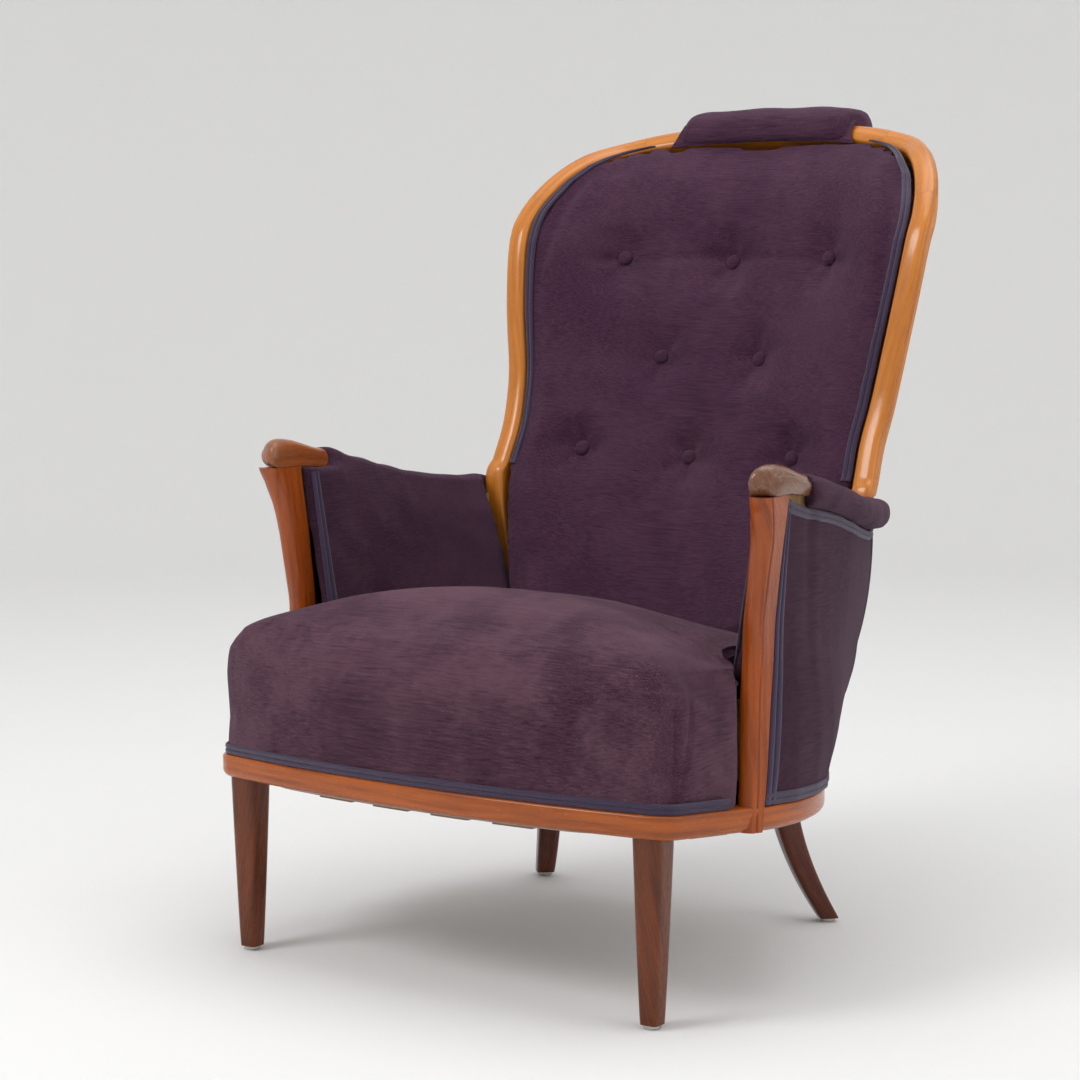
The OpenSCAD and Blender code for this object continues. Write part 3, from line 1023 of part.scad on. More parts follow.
seat_rail_front();
seat_rail_left();
seat_rail_right();
seat_rail_back();
tack_frame();
corner_blocks();
block_screws();
front_leg_left();
front_leg_right();
rear_leg_left();
rear_leg_right();
leg_dowels();
foot_glides();
arm_post_left();
arm_post_right();
arm_knuckle_left();
arm_knuckle_right();
arm_rail_left();
arm_rail_right();
back_stile_left();
back_stile_right();
back_shoulder_left();
back_shoulder_right();
back_top_rail();
back_cross_rail();
back_webbing();
seat_webbing();
seat_springs();
seat_hessian();
seat_cushion();
seat_gimp();
dust_cover();
back_cushion();
head_roll_pad();
back_buttons();
back_gimp();
outside_back();
outside_back_gimp();
arm_pad_left();
arm_pad_right();
outside_arm_left();
outside_arm_right();
arm_gimp_left();
arm_gimp_right();
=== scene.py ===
import math

import bmesh
import bpy
import numpy as np
from mathutils import Matrix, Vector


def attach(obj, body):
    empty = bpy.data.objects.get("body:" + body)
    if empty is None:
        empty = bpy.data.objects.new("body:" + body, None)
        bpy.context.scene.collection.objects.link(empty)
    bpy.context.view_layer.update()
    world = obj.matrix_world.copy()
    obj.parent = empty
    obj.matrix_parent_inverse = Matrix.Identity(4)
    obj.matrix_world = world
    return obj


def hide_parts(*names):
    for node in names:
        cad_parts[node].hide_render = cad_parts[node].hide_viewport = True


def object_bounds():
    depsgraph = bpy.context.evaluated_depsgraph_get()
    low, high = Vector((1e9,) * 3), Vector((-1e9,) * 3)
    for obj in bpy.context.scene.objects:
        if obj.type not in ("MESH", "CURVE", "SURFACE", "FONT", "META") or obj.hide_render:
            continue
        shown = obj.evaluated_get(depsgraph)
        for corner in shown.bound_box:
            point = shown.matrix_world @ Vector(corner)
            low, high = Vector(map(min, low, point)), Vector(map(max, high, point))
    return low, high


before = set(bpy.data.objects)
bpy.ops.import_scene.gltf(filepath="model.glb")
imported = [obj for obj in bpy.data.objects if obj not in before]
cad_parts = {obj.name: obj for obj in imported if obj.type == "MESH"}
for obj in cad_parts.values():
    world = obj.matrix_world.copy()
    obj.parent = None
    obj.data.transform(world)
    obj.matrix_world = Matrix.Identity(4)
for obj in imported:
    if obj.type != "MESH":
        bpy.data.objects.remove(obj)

cad_box = [[float(x) for x in corner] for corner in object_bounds()]

# A fireside chair. Sizes are in millimetres, with y = 0 at the front of the seat rail;
# metres() turns them into the part's own frame. Left is the sitter's left, +X.

RAIL_FRONT_TO_ORIGIN = 424.5


def metres(points):
    """Shifts y by the rail's distance from the origin, then millimetres to metres."""
    return (np.asarray(points, float) - [0, RAIL_FRONT_TO_ORIGIN, 0]) / 1000


def mirrored(points):
    """The same points with x turned to the other side."""
    return points * [-1, 1, 1]


def lerp(a, b, t):
    return a + (b - a) * t


def polar(degrees):
    a = np.radians(degrees)
    return np.stack([np.cos(a), np.sin(a)], -1)


def unit(v):
    return v / np.linalg.norm(v, axis=-1, keepdims=True)


def through(a, b, c, d, t):
    """Catmull-Rom curve from b to c: half of 2b + (c-a)t + (2a-5b+4c-d)tt + (3b-a-3c+d)ttt."""
    return (2 * b + (c - a) * t + (2 * a - 5 * b + 4 * c - d) * t**2 + (3 * b - a - 3 * c + d) * t**3) / 2


def look(table, v, column):
    """Smooth value of a column where the first column is v: a Catmull-Rom curve through the rows."""
    rows = np.asarray(table, float)
    v = np.asarray(v, float)
    last = len(rows) - 1
    k = np.clip(np.searchsorted(rows[:, 0], v, side="right") - 1, 0, last - 1)
    t = np.clip((v - rows[k, 0]) / (rows[k + 1, 0] - rows[k, 0]), 0, 1)
    value = rows[:, column]
    return through(value[np.maximum(k - 1, 0)], value[k], value[k + 1], value[np.minimum(k + 2, last)], t)


def rounded(outline, times=2):
    """Cuts every inner corner of an open outline at a quarter and three quarters of its sides, twice."""
    p = np.asarray(outline, float)
    for _ in range(times):
        a, b = p[:-1], p[1:]
        cut = np.stack([0.75 * a + 0.25 * b, 0.25 * a + 0.75 * b], 1).reshape(-1, p.shape[1])
        p = np.concatenate([p[:1], cut[1:-1], p[-1:]])
    return p


def eased(t):
    """Smooth step: 3tt - 2ttt."""
    return t * t * (3 - 2 * t)


# ---------------------------------------------------------------- meshes

def make_piece(name, points, faces, uv=None, sharp=40):
    """Puts points and faces into a mesh whose enclosed volume is positive, so that faces look out."""
    faces = [list(f) for f in faces]
    volume = sum(np.dot(points[f[0]], np.cross(points[f[k]], points[f[k + 1]]))
                 for f in faces for k in range(1, len(f) - 1))
    if volume < 0:
        faces = [f[::-1] for f in faces]
    mesh = bpy.data.meshes.new(name)
    mesh.from_pydata(points.tolist(), [], faces)
    if uv is not None:
        layer = mesh.uv_layers.new(name="UVMap")
        index = np.zeros(len(mesh.loops), np.int32)
        mesh.loops.foreach_get("vertex_index", index)
        layer.data.foreach_set("uv", uv[index].astype(np.float32).ravel())
    mesh.shade_smooth()
    mesh.set_sharp_from_angle(angle=math.radians(sharp))
    mesh.update()
    piece = bpy.data.objects.new(name, mesh)
    bpy.context.scene.collection.objects.link(piece)
    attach(piece, "root")
    return piece


def lengths_along(grid):
    """Distances round and along a grid of points, as texture places in metres."""
    around = np.linalg.norm(np.roll(grid, -1, 1) - grid, axis=-1)
    along = np.linalg.norm(np.diff(grid, axis=0), axis=-1)
    u = np.concatenate([np.zeros((len(grid), 1)), np.cumsum(around, 1)[:, :-1]], 1)
    v = np.concatenate([np.zeros((1, grid.shape[1])), np.cumsum(along, 0)], 0)
    return np.stack([u, v.mean(1, keepdims=True) + 0 * u], -1).reshape(-1, 2)


def tube(name, rings, sharp=40):
    """A closed solid through rings of points (rows along, columns around), capped with a fan at each end."""
    m, n = rings.shape[:2]
    i, j = np.meshgrid(np.arange(m - 1), np.arange(n), indexing="ij")
    a, b = i * n + j, i * n + (j + 1) % n
    sides = np.stack([a, b, b + n, a + n], -1).reshape(-1, 4).tolist()
    k = np.arange(n)
    first = np.stack([np.full(n, m * n), (k + 1) % n, k], -1).tolist()
    last = np.stack([np.full(n, m * n + 1), (m - 1) * n + k, (m - 1) * n + (k + 1) % n], -1).tolist()
    points = np.concatenate([rings.reshape(-1, 3), rings[:1].mean(1), rings[-1:].mean(1)])
    uv = lengths_along(rings)
    uv = np.concatenate([uv, uv[:n].mean(0, keepdims=True), uv[-n:].mean(0, keepdims=True)])
    return make_piece(name, points, sides + first + last, uv, sharp)


def cloth_between(name, outer, inner, sharp=60):
    """A thin closed sheet: two grids of points joined round their four edges."""
    m, n = outer.shape[:2]
    half = m * n
    i, j = np.meshgrid(np.arange(m - 1), np.arange(n - 1), indexing="ij")
    a = (i * n + j).ravel()
    skins = [np.stack([a, a + 1, a + n + 1, a + n], -1), np.stack([a, a + n, a + n + 1, a + 1], -1) + half]
    edge = np.concatenate([np.arange(n), n * np.arange(1, m) + n - 1,
                           (m - 1) * n + np.arange(n - 2, -1, -1), n * np.arange(m - 2, 0, -1)])
    after = np.roll(edge, -1)
    rim = np.stack([edge, edge + half, after + half, after], -1)
    points = np.concatenate([outer.reshape(-1, 3), inner.reshape(-1, 3)])
    uv = lengths_along(outer)
    return make_piece(name, points, np.concatenate(skins + [rim]).tolist(), np.concatenate([uv, uv]), sharp)


# ---------------------------------------------------------------- the seat ring

SEAT_W, SEAT_D = 724, 565
RAIL_Z, RAIL_H, RAIL_T, RAIL_FALL = 209, 27, 30, math.radians(2.6)
BOW_R, CORNER_R, CORNER_X = 1470, 35, 288
TOE_OUT, BEND_R, TURN_IN, REAR_R = 17, 250, 35, 50

bow_span = math.degrees(math.asin(CORNER_X / (BOW_R - CORNER_R)))
front_c = np.array([CORNER_X, BOW_R - (BOW_R - CORNER_R) * math.cos(math.radians(bow_span))])
corner_end = front_c + CORNER_R * polar(-TOE_OUT)
toe = math.radians(TOE_OUT)
side_run = (SEAT_W / 2 - BEND_R * (1 - math.cos(toe)) - corner_end[0]) / math.sin(toe)
side_c = corner_end + side_run * np.array([math.sin(toe), math.cos(toe)]) - BEND_R * polar(-TOE_OUT)
side_end = side_c + BEND_R * polar(TURN_IN)
turn = math.radians(TURN_IN)
rear_run = (SEAT_D - REAR_R - side_end[1] + REAR_R * math.sin(turn)) / math.cos(turn)
rear_c = side_end + rear_run * np.array([-math.sin(turn), math.cos(turn)]) - REAR_R * polar(TURN_IN)
rear_start = rear_c + REAR_R * polar(TURN_IN)
post_stand = side_c + BEND_R * polar(-TOE_OUT)
leg_y = front_c[1] - CORNER_R * 0.26


def arc(centre, radius, a0, a1, count):
    """Stations on an arc: place on the circle and outward angle."""
    a = np.linspace(a0, a1, count)
    return np.column_stack([centre + radius * polar(a), a])


def both_halves(stations):
    """Stations of the left half joined behind their own mirror image."""
    other = stations[::-1] * [-1, 1, -1] + [0, 0, 180]
    return np.concatenate([other[:-1] if abs(stations[0, 0]) < 1e-6 else other, stations])


def inset(stations, depth):
    return stations[:, :2] - np.asarray(depth)[..., None] * polar(stations[:, 2])


def under(y):
    """Underside of the rail, which falls evenly to the back."""
    return RAIL_Z - math.tan(RAIL_FALL) * (y - leg_y)


front_half = np.concatenate([arc([0, BOW_R], BOW_R, -90, bow_span - 90, 30),
                             arc(front_c, CORNER_R, bow_span - 90, -TOE_OUT, 16)[1:],
                             [[*post_stand, -TOE_OUT]]])
side_half = np.concatenate([arc(side_c, BEND_R, -TOE_OUT, TURN_IN, 32), [[*rear_start, TURN_IN]]])
rear_half = np.concatenate([arc(rear_c, REAR_R, TURN_IN, 90, 16), [[0, SEAT_D, 90]]])
whole_half = np.concatenate([front_half, side_half[1:], rear_half[1:]])

low_round, top_round = 9, 4
band = np.concatenate([
    [[-RAIL_T, 0]],
    np.array([-low_round, low_round]) + low_round * polar(np.linspace(-90, 0, 8)),
    np.array([-top_round, RAIL_H - top_round]) + top_round * polar(np.linspace(0, 90, 6)),
    [[-RAIL_T, RAIL_H]]])


def banded(stations, section):
    """A section of (outwards, up) carried round the ring, standing on the rail's sloping underside."""
    out, up = section[:, 0], section[:, 1]
    xy = stations[:, None, :2] + out[None, :, None] * polar(stations[:, 2])[:, None, :]
    z = under(xy[..., 1]) + up
    return metres(np.concatenate([xy, z[..., None]], -1))


# ---------------------------------------------------------------- legs

def leg_rings(centre, width, height, turned, square):
    """A squared circle, |x|^n + |y|^n = 1, scaled by the width at each height along a line of centres."""
    a = np.linspace(0, 2 * np.pi, 48, endpoint=False)
    k = (np.abs(np.cos(a))**square + np.abs(np.sin(a))**square)**(-1 / square)
    unit_leg = k[:, None] * polar(np.degrees(a) + turned)
    xy = centre[:, None, :] + width[:, None, None] / 2 * unit_leg
    z = lerp(5.0, under(xy[..., 1]), height[:, None])
    return metres(np.concatenate([xy, z[..., None]], -1))


front_leg = np.array([front_c[0] - CORNER_R * 0.13, leg_y])
rear_leg = rear_c + REAR_R * np.array([0.39, 0.12])
FOOT_THROW = np.array([43, 47])


def front_leg_form():
    """The taper runs from the foot's width to the top's with the height to the power 0.85."""
    s = np.linspace(0, 1, 24)
    return leg_rings(front_leg + 0 * s[:, None], lerp(22, 37, s**0.85), s, 0, 5)


def rear_leg_form():
    """A sabre curve: the foot's throw fades with the height left over to the power 1.8."""
    s = np.linspace(0, 1, 32)
    back = ((1 - s)**1.8)[:, None]
    turned = math.degrees(math.atan2(*FOOT_THROW[::-1]))
    return leg_rings(lerp(rear_leg, rear_leg + FOOT_THROW, back), lerp(24, 34, s**0.7), s, turned, 5)


# ---------------------------------------------------------------- arm posts

ARM_JOINT_Z, POST_W, HEAD_D, FOOT_D = 567, 28.5, 51, 18
POST = [[0, 0, 0, 0, 0.79], [0.142, 0.3, 0.33, 0.12, 0.8], [0.27, 0.64, 0.61, 0.24, 0.82],
        [0.38, 0.85, 0.8, 0.33, 0.82], [0.478, 0.965, 0.96, 0.39, 0.82], [0.534, 0.965, 1, 0.4, 0.84],
        [0.617, 0.865, 0.94, 0.46, 0.83], [0.718, 0.625, 0.9, 0.475, 0.86], [0.785, 0.44, 0.87, 0.485, 0.91],
        [0.869, 0.165, 0.785, 0.53, 0.98], [0.9525, -0.085, 0.565, 0.79, 1], [1, -0.21, 0.4, 1, 1]]
post_foot = post_stand + 5 * polar(-TOE_OUT)


def post_outer_x(s):
    return post_foot[0] - 20 * look(POST, s, 1)


def post_front_y(s):
    return post_foot[1] - FOOT_D / 2 + 43 * look(POST, s, 2)


def post_depth(s):
    return lerp(FOOT_D, HEAD_D, look(POST, s, 3))


def post_slant(s):
    return lerp(math.tan(toe), -0.04, s)


def post_form():
    """A round nose member with a groove behind it, scaled by the width; its back follows the depth."""
    s = np.linspace(0, 1, 90)[:, None]
    w, d = POST_W * look(POST, s, 4), post_depth(s)
    nose = rounded([[0.55, 0], [0.28, 0.02], [0.1, 0.12], [0, 0.38], [0, 0.62], [0.09, 0.88], [0.26, 0.99],
                    [0.35, 0.97], [0.385, 0.90], [0.43, 0.88], [0.475, 0.90], [0.51, 0.965], [0.6, 0.955]], 2)
    back = w * nose[None, :, 0]
    out = w * nose[None, :, 1]
    back = np.concatenate([d, back, d], 1)
    out = np.concatenate([0 * d, out, 0.95 * w], 1)
    x = post_outer_x(s) - w + out + post_slant(s) * (back - d / 2)
    y = post_front_y(s) + back
    z = lerp(under(y), ARM_JOINT_Z - 0.4, s)
    return metres(np.stack([x, y, z], -1))


# ---------------------------------------------------------------- arms

BACK_FOOT_Y, NOSE_RUN, TONGUE_DROP = 527, 7, 5
KNUCKLE_H, KNUCKLE_L, KNUCKLE_W, ARM_DROP = 34, 119, 36, 48
PAD_IN = 36 * 0.66
COVER_OUT = 36 - PAD_IN
ROLL_D = 38
arm_x = post_outer_x(1.0) - POST_W / 2
arm_start = post_front_y(1.0) + HEAD_D
arm_crest_z = ARM_JOINT_Z + KNUCKLE_H * 0.6
ARM = [[-0.2, 1, 0], [0, 1, 0], [0.188, 0.998, 0], [0.258, 0.999, 0.1], [0.526, 0.972, 0.55],
       [0.68, 0.935, 0.8], [0.834, 0.89, 0.965], [1, 0.83, 1], [1.09, 0.787, 1]]
tail_share = (KNUCKLE_L - HEAD_D - NOSE_RUN) / (BACK_FOOT_Y - arm_start)


def arm_place(u):
    u = np.asarray(u, float)
    return np.stack([arm_x * look(ARM, u, 1), lerp(arm_start, BACK_FOOT_Y, u)], -1)


def arm_crest(u):
    return arm_crest_z - ARM_DROP * look(ARM, u, 2)


def arm_point(u, out, z):
    """A point of the arm by share of the run, distance out from the crest line and height.
    It is skewed at the knuckle's tail."""
    u, out, z = np.broadcast_arrays(*np.atleast_1d(u, out, z))
    ahead = unit(arm_place(u + 0.02) - arm_place(u - 0.02))
    away = np.stack([ahead[..., 1], -ahead[..., 0]], -1)
    skew = 0.5 * np.where(u < tail_share, u / tail_share, np.clip(1 - (u - tail_share) * 5, 0, 1))
    p = arm_place(u) + out[..., None] * away - (skew * (out + PAD_IN))[..., None] * ahead
    return np.concatenate([p, z[..., None]], -1)


KNUCKLE = [[0, 0.6, 0.5], [0.025, 0.77, 0.76], [0.06, 0.88, 0.91], [0.12, 0.96, 0.98], [0.24, 1, 1],
           [0.45, 0.93, 1], [0.65, 0.8, 0.97], [0.85, 0.66, 0.92], [1, 0.6, 0.88]]


def knuckle_form():
    """An ogee section whose width and crest follow the table; the nose rolls under the front."""
    crown = rounded([[0, 0], [0, 0.3], [0.02, 0.6], [0.1, 0.86], [0.28, 0.99], [0.5, 1.01], [0.68, 0.94],
                     [0.81, 0.8], [0.86, 0.7], [0.93, 0.67], [0.995, 0.56], [0.985, 0.36], [0.9, 0.14],
                     [0.8, 0]], 2)
    s = np.concatenate([[0, 0.008, 0.016], np.linspace(0.025, 1, 60)])[:, None]
    start = (post_front_y(1.0) - NOSE_RUN - arm_start) / (BACK_FOOT_Y - arm_start)
    u = lerp(start, tail_share, s)
    g = np.minimum(look(KNUCKLE, s, 2), 1)
    top = KNUCKLE_H * look(KNUCKLE, s, 1)
    low = ARM_JOINT_Z - TONGUE_DROP * np.maximum(0, s * 2 - 1)
    across = lerp(0.44, crown[None, :, 0], g)
    up = lerp(0.42 * (1 - s), crown[None, :, 1], np.sqrt(g))
    rolled = NOSE_RUN * np.clip(1 - s * 5, 0, 1) * np.clip(1 - up / 0.42, 0, 1)**1.5
    p = arm_point(u + 0 * across, KNUCKLE_W * across - POST_W / 2, low + (ARM_JOINT_Z + top - low) * up)
    p[..., 1] += rolled
    return metres(p)


# ---------------------------------------------------------------- the back frame

SHOULDER_X, BACK_RAKE, BACK_TOP_Z = 296, 248, 989
FRAME_W, FRAME_D = 28.5, 28
back_foot_z = arm_crest_z - ARM_DROP * 1.196
FRAME = np.array([
    [0.557, -0.053, -0.71, 3], [0.71, -0.025, -0.46, 5], [0.861, -0.01, -0.22, 15], [0.917, 0, 0, 24],
    [0.911, 0.055, 0.066, 25], [0.904, 0.127, 0.154, 22], [0.9155, 0.19, 0.242, 17], [0.931, 0.231, 0.33, 12],
    [0.972, 0.279, 0.505, 9], [0.9986, 0.351, 0.681, 20], [0.994, 0.441, 0.769, 31], [0.94, 0.589, 0.857, 39],
    [0.84, 0.75, 0.926, 42], [0.7, 0.895, 0.96, 42], [0.44, 0.964, 0.989, 42], [0, 1, 1, 42]])
FRAME_END = len(FRAME) - 1
STILE_JOINT, TOP_JOINT, JOINT_LINE = 10.45, 13.4, 0.004
frame_rows = np.concatenate([FRAME, FRAME[-2::-1] * [-1, 1, 1, 1]])


def frame_row(i):
    """Catmull-Rom curve through the rows of the left half, the middle and the mirrored half."""
    k = np.clip(np.floor(i).astype(int), 0, len(frame_rows) - 2)
    pick = lambda j: frame_rows[np.clip(j, 0, len(frame_rows) - 1)]
    return through(pick(k - 1), pick(k), pick(k + 1), pick(k + 2), (i - k)[..., None])


def frame_place(i):
    r = frame_row(i)
    return np.stack([SHOULDER_X * r[..., 0], BACK_FOOT_Y + BACK_RAKE * r[..., 1],
                     lerp(back_foot_z, BACK_TOP_Z, r[..., 2])], -1)


def frame_axes(i):
    """Width and face directions. The width lies across the line and across a direction that leans
    by the last column."""
    ahead = unit(frame_place(i + 0.05) - frame_place(np.maximum(i - 0.05, 0)))
    lean = np.radians(frame_row(i)[..., 3])
    wide = unit(np.cross(ahead, np.stack([0 * lean, -np.cos(lean), np.sin(lean)], -1)))
    return wide, unit(np.cross(wide, ahead))


def frame_depth(i):
    return FRAME_D * lerp(0.6, 1, np.clip((i - 2.4) / 1.6, 0, 1))


def moulding(i0, i1, step=0.05):
    """The frame's section, a round face with a groove and a bead, carried along the frame's line."""
    section = np.concatenate([[[-0.5, 1]], rounded(
        [[-0.5, 0.6], [-0.5, 0.3], [-0.46, 0.12], [-0.28, 0.015], [0, 0], [0.28, 0.02], [0.43, 0.11],
         [0.465, 0.21], [0.43, 0.29], [0.445, 0.34], [0.49, 0.39], [0.505, 0.45], [0.47, 0.52],
        [0.3, 0.54]], 2),
        [[0.3, 1]]])
    i = np.linspace(i0, i1, max(int((i1 - i0) / step), 8))
    wide, face = frame_axes(i)
    p = (frame_place(i)[:, None] + FRAME_W * section[None, :, :1] * wide[:, None]
         - (frame_depth(i)[:, None, None] * section[None, :, 1:]) * face[:, None])
    return metres(p)


# ---------------------------------------------------------------- outside arms and outside back

COVER_LINE = COVER_OUT * 0.97
TONGUE_RISE = 14


def narrow(u):
    return 9 * np.clip(u, 0, 1)**2


cover_run = np.concatenate([arc(side_c, BEND_R, -TOE_OUT + 1, TURN_IN, 5)]
                           + [[[*lerp(side_end, rear_start, i / 3), TURN_IN]] for i in (1, 2)]
                           + [arc(rear_c, REAR_R, TURN_IN, 62, 3)])


def cover_station(u):
    """Blend of two neighbouring stations of the cover's foot, by share of the list."""
    n = len(cover_run) - 1
    k = np.minimum(np.floor(u * n).astype(int), n - 1)
    t = (u * n - k)[..., None]
    return lerp(cover_run[k], cover_run[k + 1], t)


def cover_at(u, t):
    """The outside arm's surface: foot on the rail, top under the roll, flared and full between.
    Its front edge follows the post, and its top runs up under the knuckle's tongue."""
    u, t = np.broadcast_arrays(np.asarray(u, float), np.asarray(t, float))

    def low_at(a):
        s = cover_station(a)
        p = s[..., :2] - 3 * polar(s[..., 2])
        return np.concatenate([p, (under(p[..., 1]) + RAIL_H)[..., None]], -1)

    def high_at(a):
        b = 1.02 * a
        return arm_point(b, COVER_LINE - narrow(b), arm_crest(b) - ROLL_D - 0.6)

    low, high = low_at(u), high_at(u)
    first_low, first_high = low_at(0 * u), high_at(0 * u)
    f = lerp(t, 1 - (1 - t)**2.4, np.maximum(u, 1e-9)**0.4)[..., None]
    flat = lerp(first_low, first_high, t[..., None])
    s = (flat[..., 2] - under(post_foot[1])) / (ARM_JOINT_Z - under(post_foot[1]))
    s = np.clip(s, 0, 1)
    corner = np.stack([post_outer_x(s) - 0.1 * POST_W * look(POST, s, 4) + post_slant(s) * post_depth(s) / 2,
                       post_front_y(s) + post_depth(s) + 1.5, flat[..., 2]], -1)
    full = 12 * np.maximum(u, 1e-9)**0.4 * np.sin(np.pi * np.minimum(t / 0.5, 1))
    p = lerp(low, high, f)
    p[..., 2] = lerp(low[..., 2], high[..., 2], t)
    p[..., :2] += full[..., None] * polar(cover_station(u)[..., 2])
    p[..., :2] += ((1 - u)**1.6)[..., None] * (corner - flat)[..., :2]
    p[..., 2] += TONGUE_RISE * np.clip(1 - u / 0.2, 0, 1)**1.3 * t**4
    return p


def cover_normal(u, t):
    u, t = np.clip(u, 0.02, 0.98), np.clip(t, 0.02, 0.98)
    return unit(np.cross(cover_at(u + 0.02, t) - cover_at(u - 0.02, t),
                         cover_at(u, t + 0.02) - cover_at(u, t - 0.02)))


def outside_arm_form():
    u, t = np.meshgrid(np.linspace(0, 1, 70), np.linspace(0, 1, 48), indexing="ij")
    outer = cover_at(u, t)
    return outer, outer - 2.6 * cover_normal(u, t)


OUTBACK = [[-0.71, 0.12], [-0.22, 0.35], [0.154, 0.573], [0.593, 0.878], [0.8, 1], [0.96, 1.12]]


def back_z(v):
    return lerp(back_foot_z, BACK_TOP_Z, v)


def back_share(z):
    """Share of the back's height at z: the inverse of back_z."""
    return (z - back_foot_z) / (BACK_TOP_Z - back_foot_z)


def rear_edge(i):
    """The frame's rear line, where the outside back ends."""
    wide, face = frame_axes(i)
    return frame_place(i) + FRAME_W * 0.1 * wide - (frame_depth(i) + 2.7)[..., None] * face


rear_index = np.arange(0, FRAME_END + 0.01, 0.5)
rear_share = back_share(rear_edge(rear_index)[:, 2])


def outback_at(u, v, out=0.0):
    """The outside back. Its edge follows the frame's rear line above the arms and the arm covers below."""
    u, v = np.broadcast_arrays(np.asarray(u, float), np.asarray(v, float))
    e = rear_edge(np.interp(v, rear_share, rear_index))
    z = back_z(v)
    z0, z1 = cover_at(1.0, 0.0)[..., 2], cover_at(1.0, 1.0)[..., 2]
    c = cover_at(np.ones_like(v), np.clip((z - z0) / (z1 - z0), 0, 1))
    g = np.clip(v / 0.1 + 1, 0, 1)
    g = eased(g)
    ex, ey = lerp(c[..., 0] - 0.6, e[..., 0], g), lerp(c[..., 1] + 0.3, e[..., 1], g)
    m = BACK_FOOT_Y + BACK_RAKE * look(OUTBACK, v, 1)
    y = lerp(m, ey, np.abs(u)**lerp(4, 2.2, np.clip((v + 0.1) * 3, 0, 1))) + out
    return np.stack([u * ex, y, z], -1)


outback_low = back_share(under(rear_c[1]) + RAIL_H)


def outside_back_form():
    v, u = np.meshgrid(np.linspace(outback_low, 0.948, 110), np.linspace(-1, 1, 81), indexing="ij")
    return outback_at(u, v, 2.8), outback_at(u, v, 0.2)


# ---------------------------------------------------------------- back stuffing and its buttons

EDGE = [[-0.42, 0.6, -0.37], [-0.34, 0.655, -0.325], [-0.27, 0.7, -0.27], [-0.2, 0.745, -0.21],
        [-0.11, 0.797, -0.12], [-0.03, 0.845, -0.035], [0.03, 0.862, 0.015], [0.066, 0.863, 0.055],
        [0.154, 0.856, 0.127], [0.242, 0.868, 0.19], [0.33, 0.883, 0.231], [0.505, 0.924, 0.279],
        [0.681, 0.951, 0.35], [0.769, 0.943, 0.44], [0.857, 0.88, 0.588], [0.9, 0.813, 0.675],
        [0.923, 0.76, 0.748], [0.944, 0.68, 0.83], [0.96, 0.57, 0.88]]
BUTTONS = np.array([[-0.519, 0.631], [0, 0.619], [0.519, 0.631], [-0.248, 0.353], [0.248, 0.353],
                    [-0.53, 0.094], [0, 0.081], [0.53, 0.094]])


def half_width(v):
    """From the middle to the cushion's edge."""
    return SHOULDER_X * look(EDGE, v, 1) - 3


def back_front(u, v):
    """The back's front: a hollow line blended to the edge by u squared, filled out, less a bell
    at each button."""
    u, v = np.broadcast_arrays(np.asarray(u, float), np.asarray(v, float))
    x = u * half_width(v)
    edge = BACK_FOOT_Y + BACK_RAKE * look(EDGE, v, 2) + 6
    line = BACK_FOOT_Y + 44 + BACK_RAKE * 0.8 * v
    full = 24 * (1 - np.abs(u)**8) * (1 - np.clip((v - 0.72) / 0.24, 0, 1)**3)
    buttons = np.stack([SHOULDER_X * BUTTONS[:, 0], back_z(BUTTONS[:, 1])], -1)
    places = np.stack([x, back_z(v)], -1)[..., None, :] - buttons
    pulled = 22 * np.exp(-(np.linalg.norm(places, axis=-1) / 42)**2 * 1.6).max(-1)
    return np.stack([x, lerp(line, edge, u * u) - full + pulled, back_z(v)], -1)


def button_form(b):
    """A low dome turned about its axis, set on the bottom of its dimple and turned to the sitter."""
    profile = rounded([[0.02, 7.2], [2.6, 7.1], [5, 6.6], [7.6, 5.4], [9.2, 3.8], [10, 2.2], [9.8, 1], [9, 0],
                       [7, -1]], 2)
    a = np.linspace(0, 2 * np.pi, 40, endpoint=False)
    p = np.stack([profile[:, :1] * np.cos(a), profile[:, :1] * np.sin(a), profile[:, 1:] + 0 * a], -1)
    tilt, yaw = math.radians(90 - 22), math.radians(-16 * b[0])
    cx, sx, cz, sz = math.cos(tilt), math.sin(tilt), math.cos(yaw), math.sin(yaw)
    about_z = np.array([[cz, -sz, 0], [sz, cz, 0], [0, 0, 1]])
    turned = about_z @ np.array([[1, 0, 0], [0, cx, -sx], [0, sx, cx]])
    p[..., 2] += 3
    return metres(p @ turned.T + back_front(SHOULDER_X * b[0] / half_width(b[1]), b[1]))


# ---------------------------------------------------------------- braid

def braid_form(edge_a, edge_b, away, lift=1.0):
    """Two cords side by side: height is the root of |sin| twice across the strip, on a thin base."""
    s = np.linspace(0, 1, 21)
    high = 0.5 + 1.7 * np.sqrt(np.abs(np.sin(2 * np.pi * s)))
    a, b, away = edge_a[:, None], edge_b[:, None], away[:, None]
    top = lerp(a, b, s[None, :, None]) + (lift + high)[None, :, None] * away
    low = lerp(a, b, s[None, ::-4, None]) + (lift - 0.6) * away
    return metres(np.concatenate([top, low], 1))


# ---------------------------------------------------------------- finishes

def paint(r, g, b):
    """A colour as it shows on a screen, 0 to 255, turned into linear light."""
    c = np.array([r, g, b]) / 255
    return tuple(np.where(c < 0.04045, c / 12.92, ((c + 0.055) / 1.055)**2.4)) + (1.0,)


def add(tree, kind, links=None, **settings):
    node = tree.nodes.new("ShaderNode" + kind)
    for key, value in settings.items():
        setattr(node, key, value)
    for socket, source in (links or {}).items():
        if isinstance(source, bpy.types.NodeSocket):
            tree.links.new(source, node.inputs[socket])
        else:
            node.inputs[socket].default_value = source
    return node


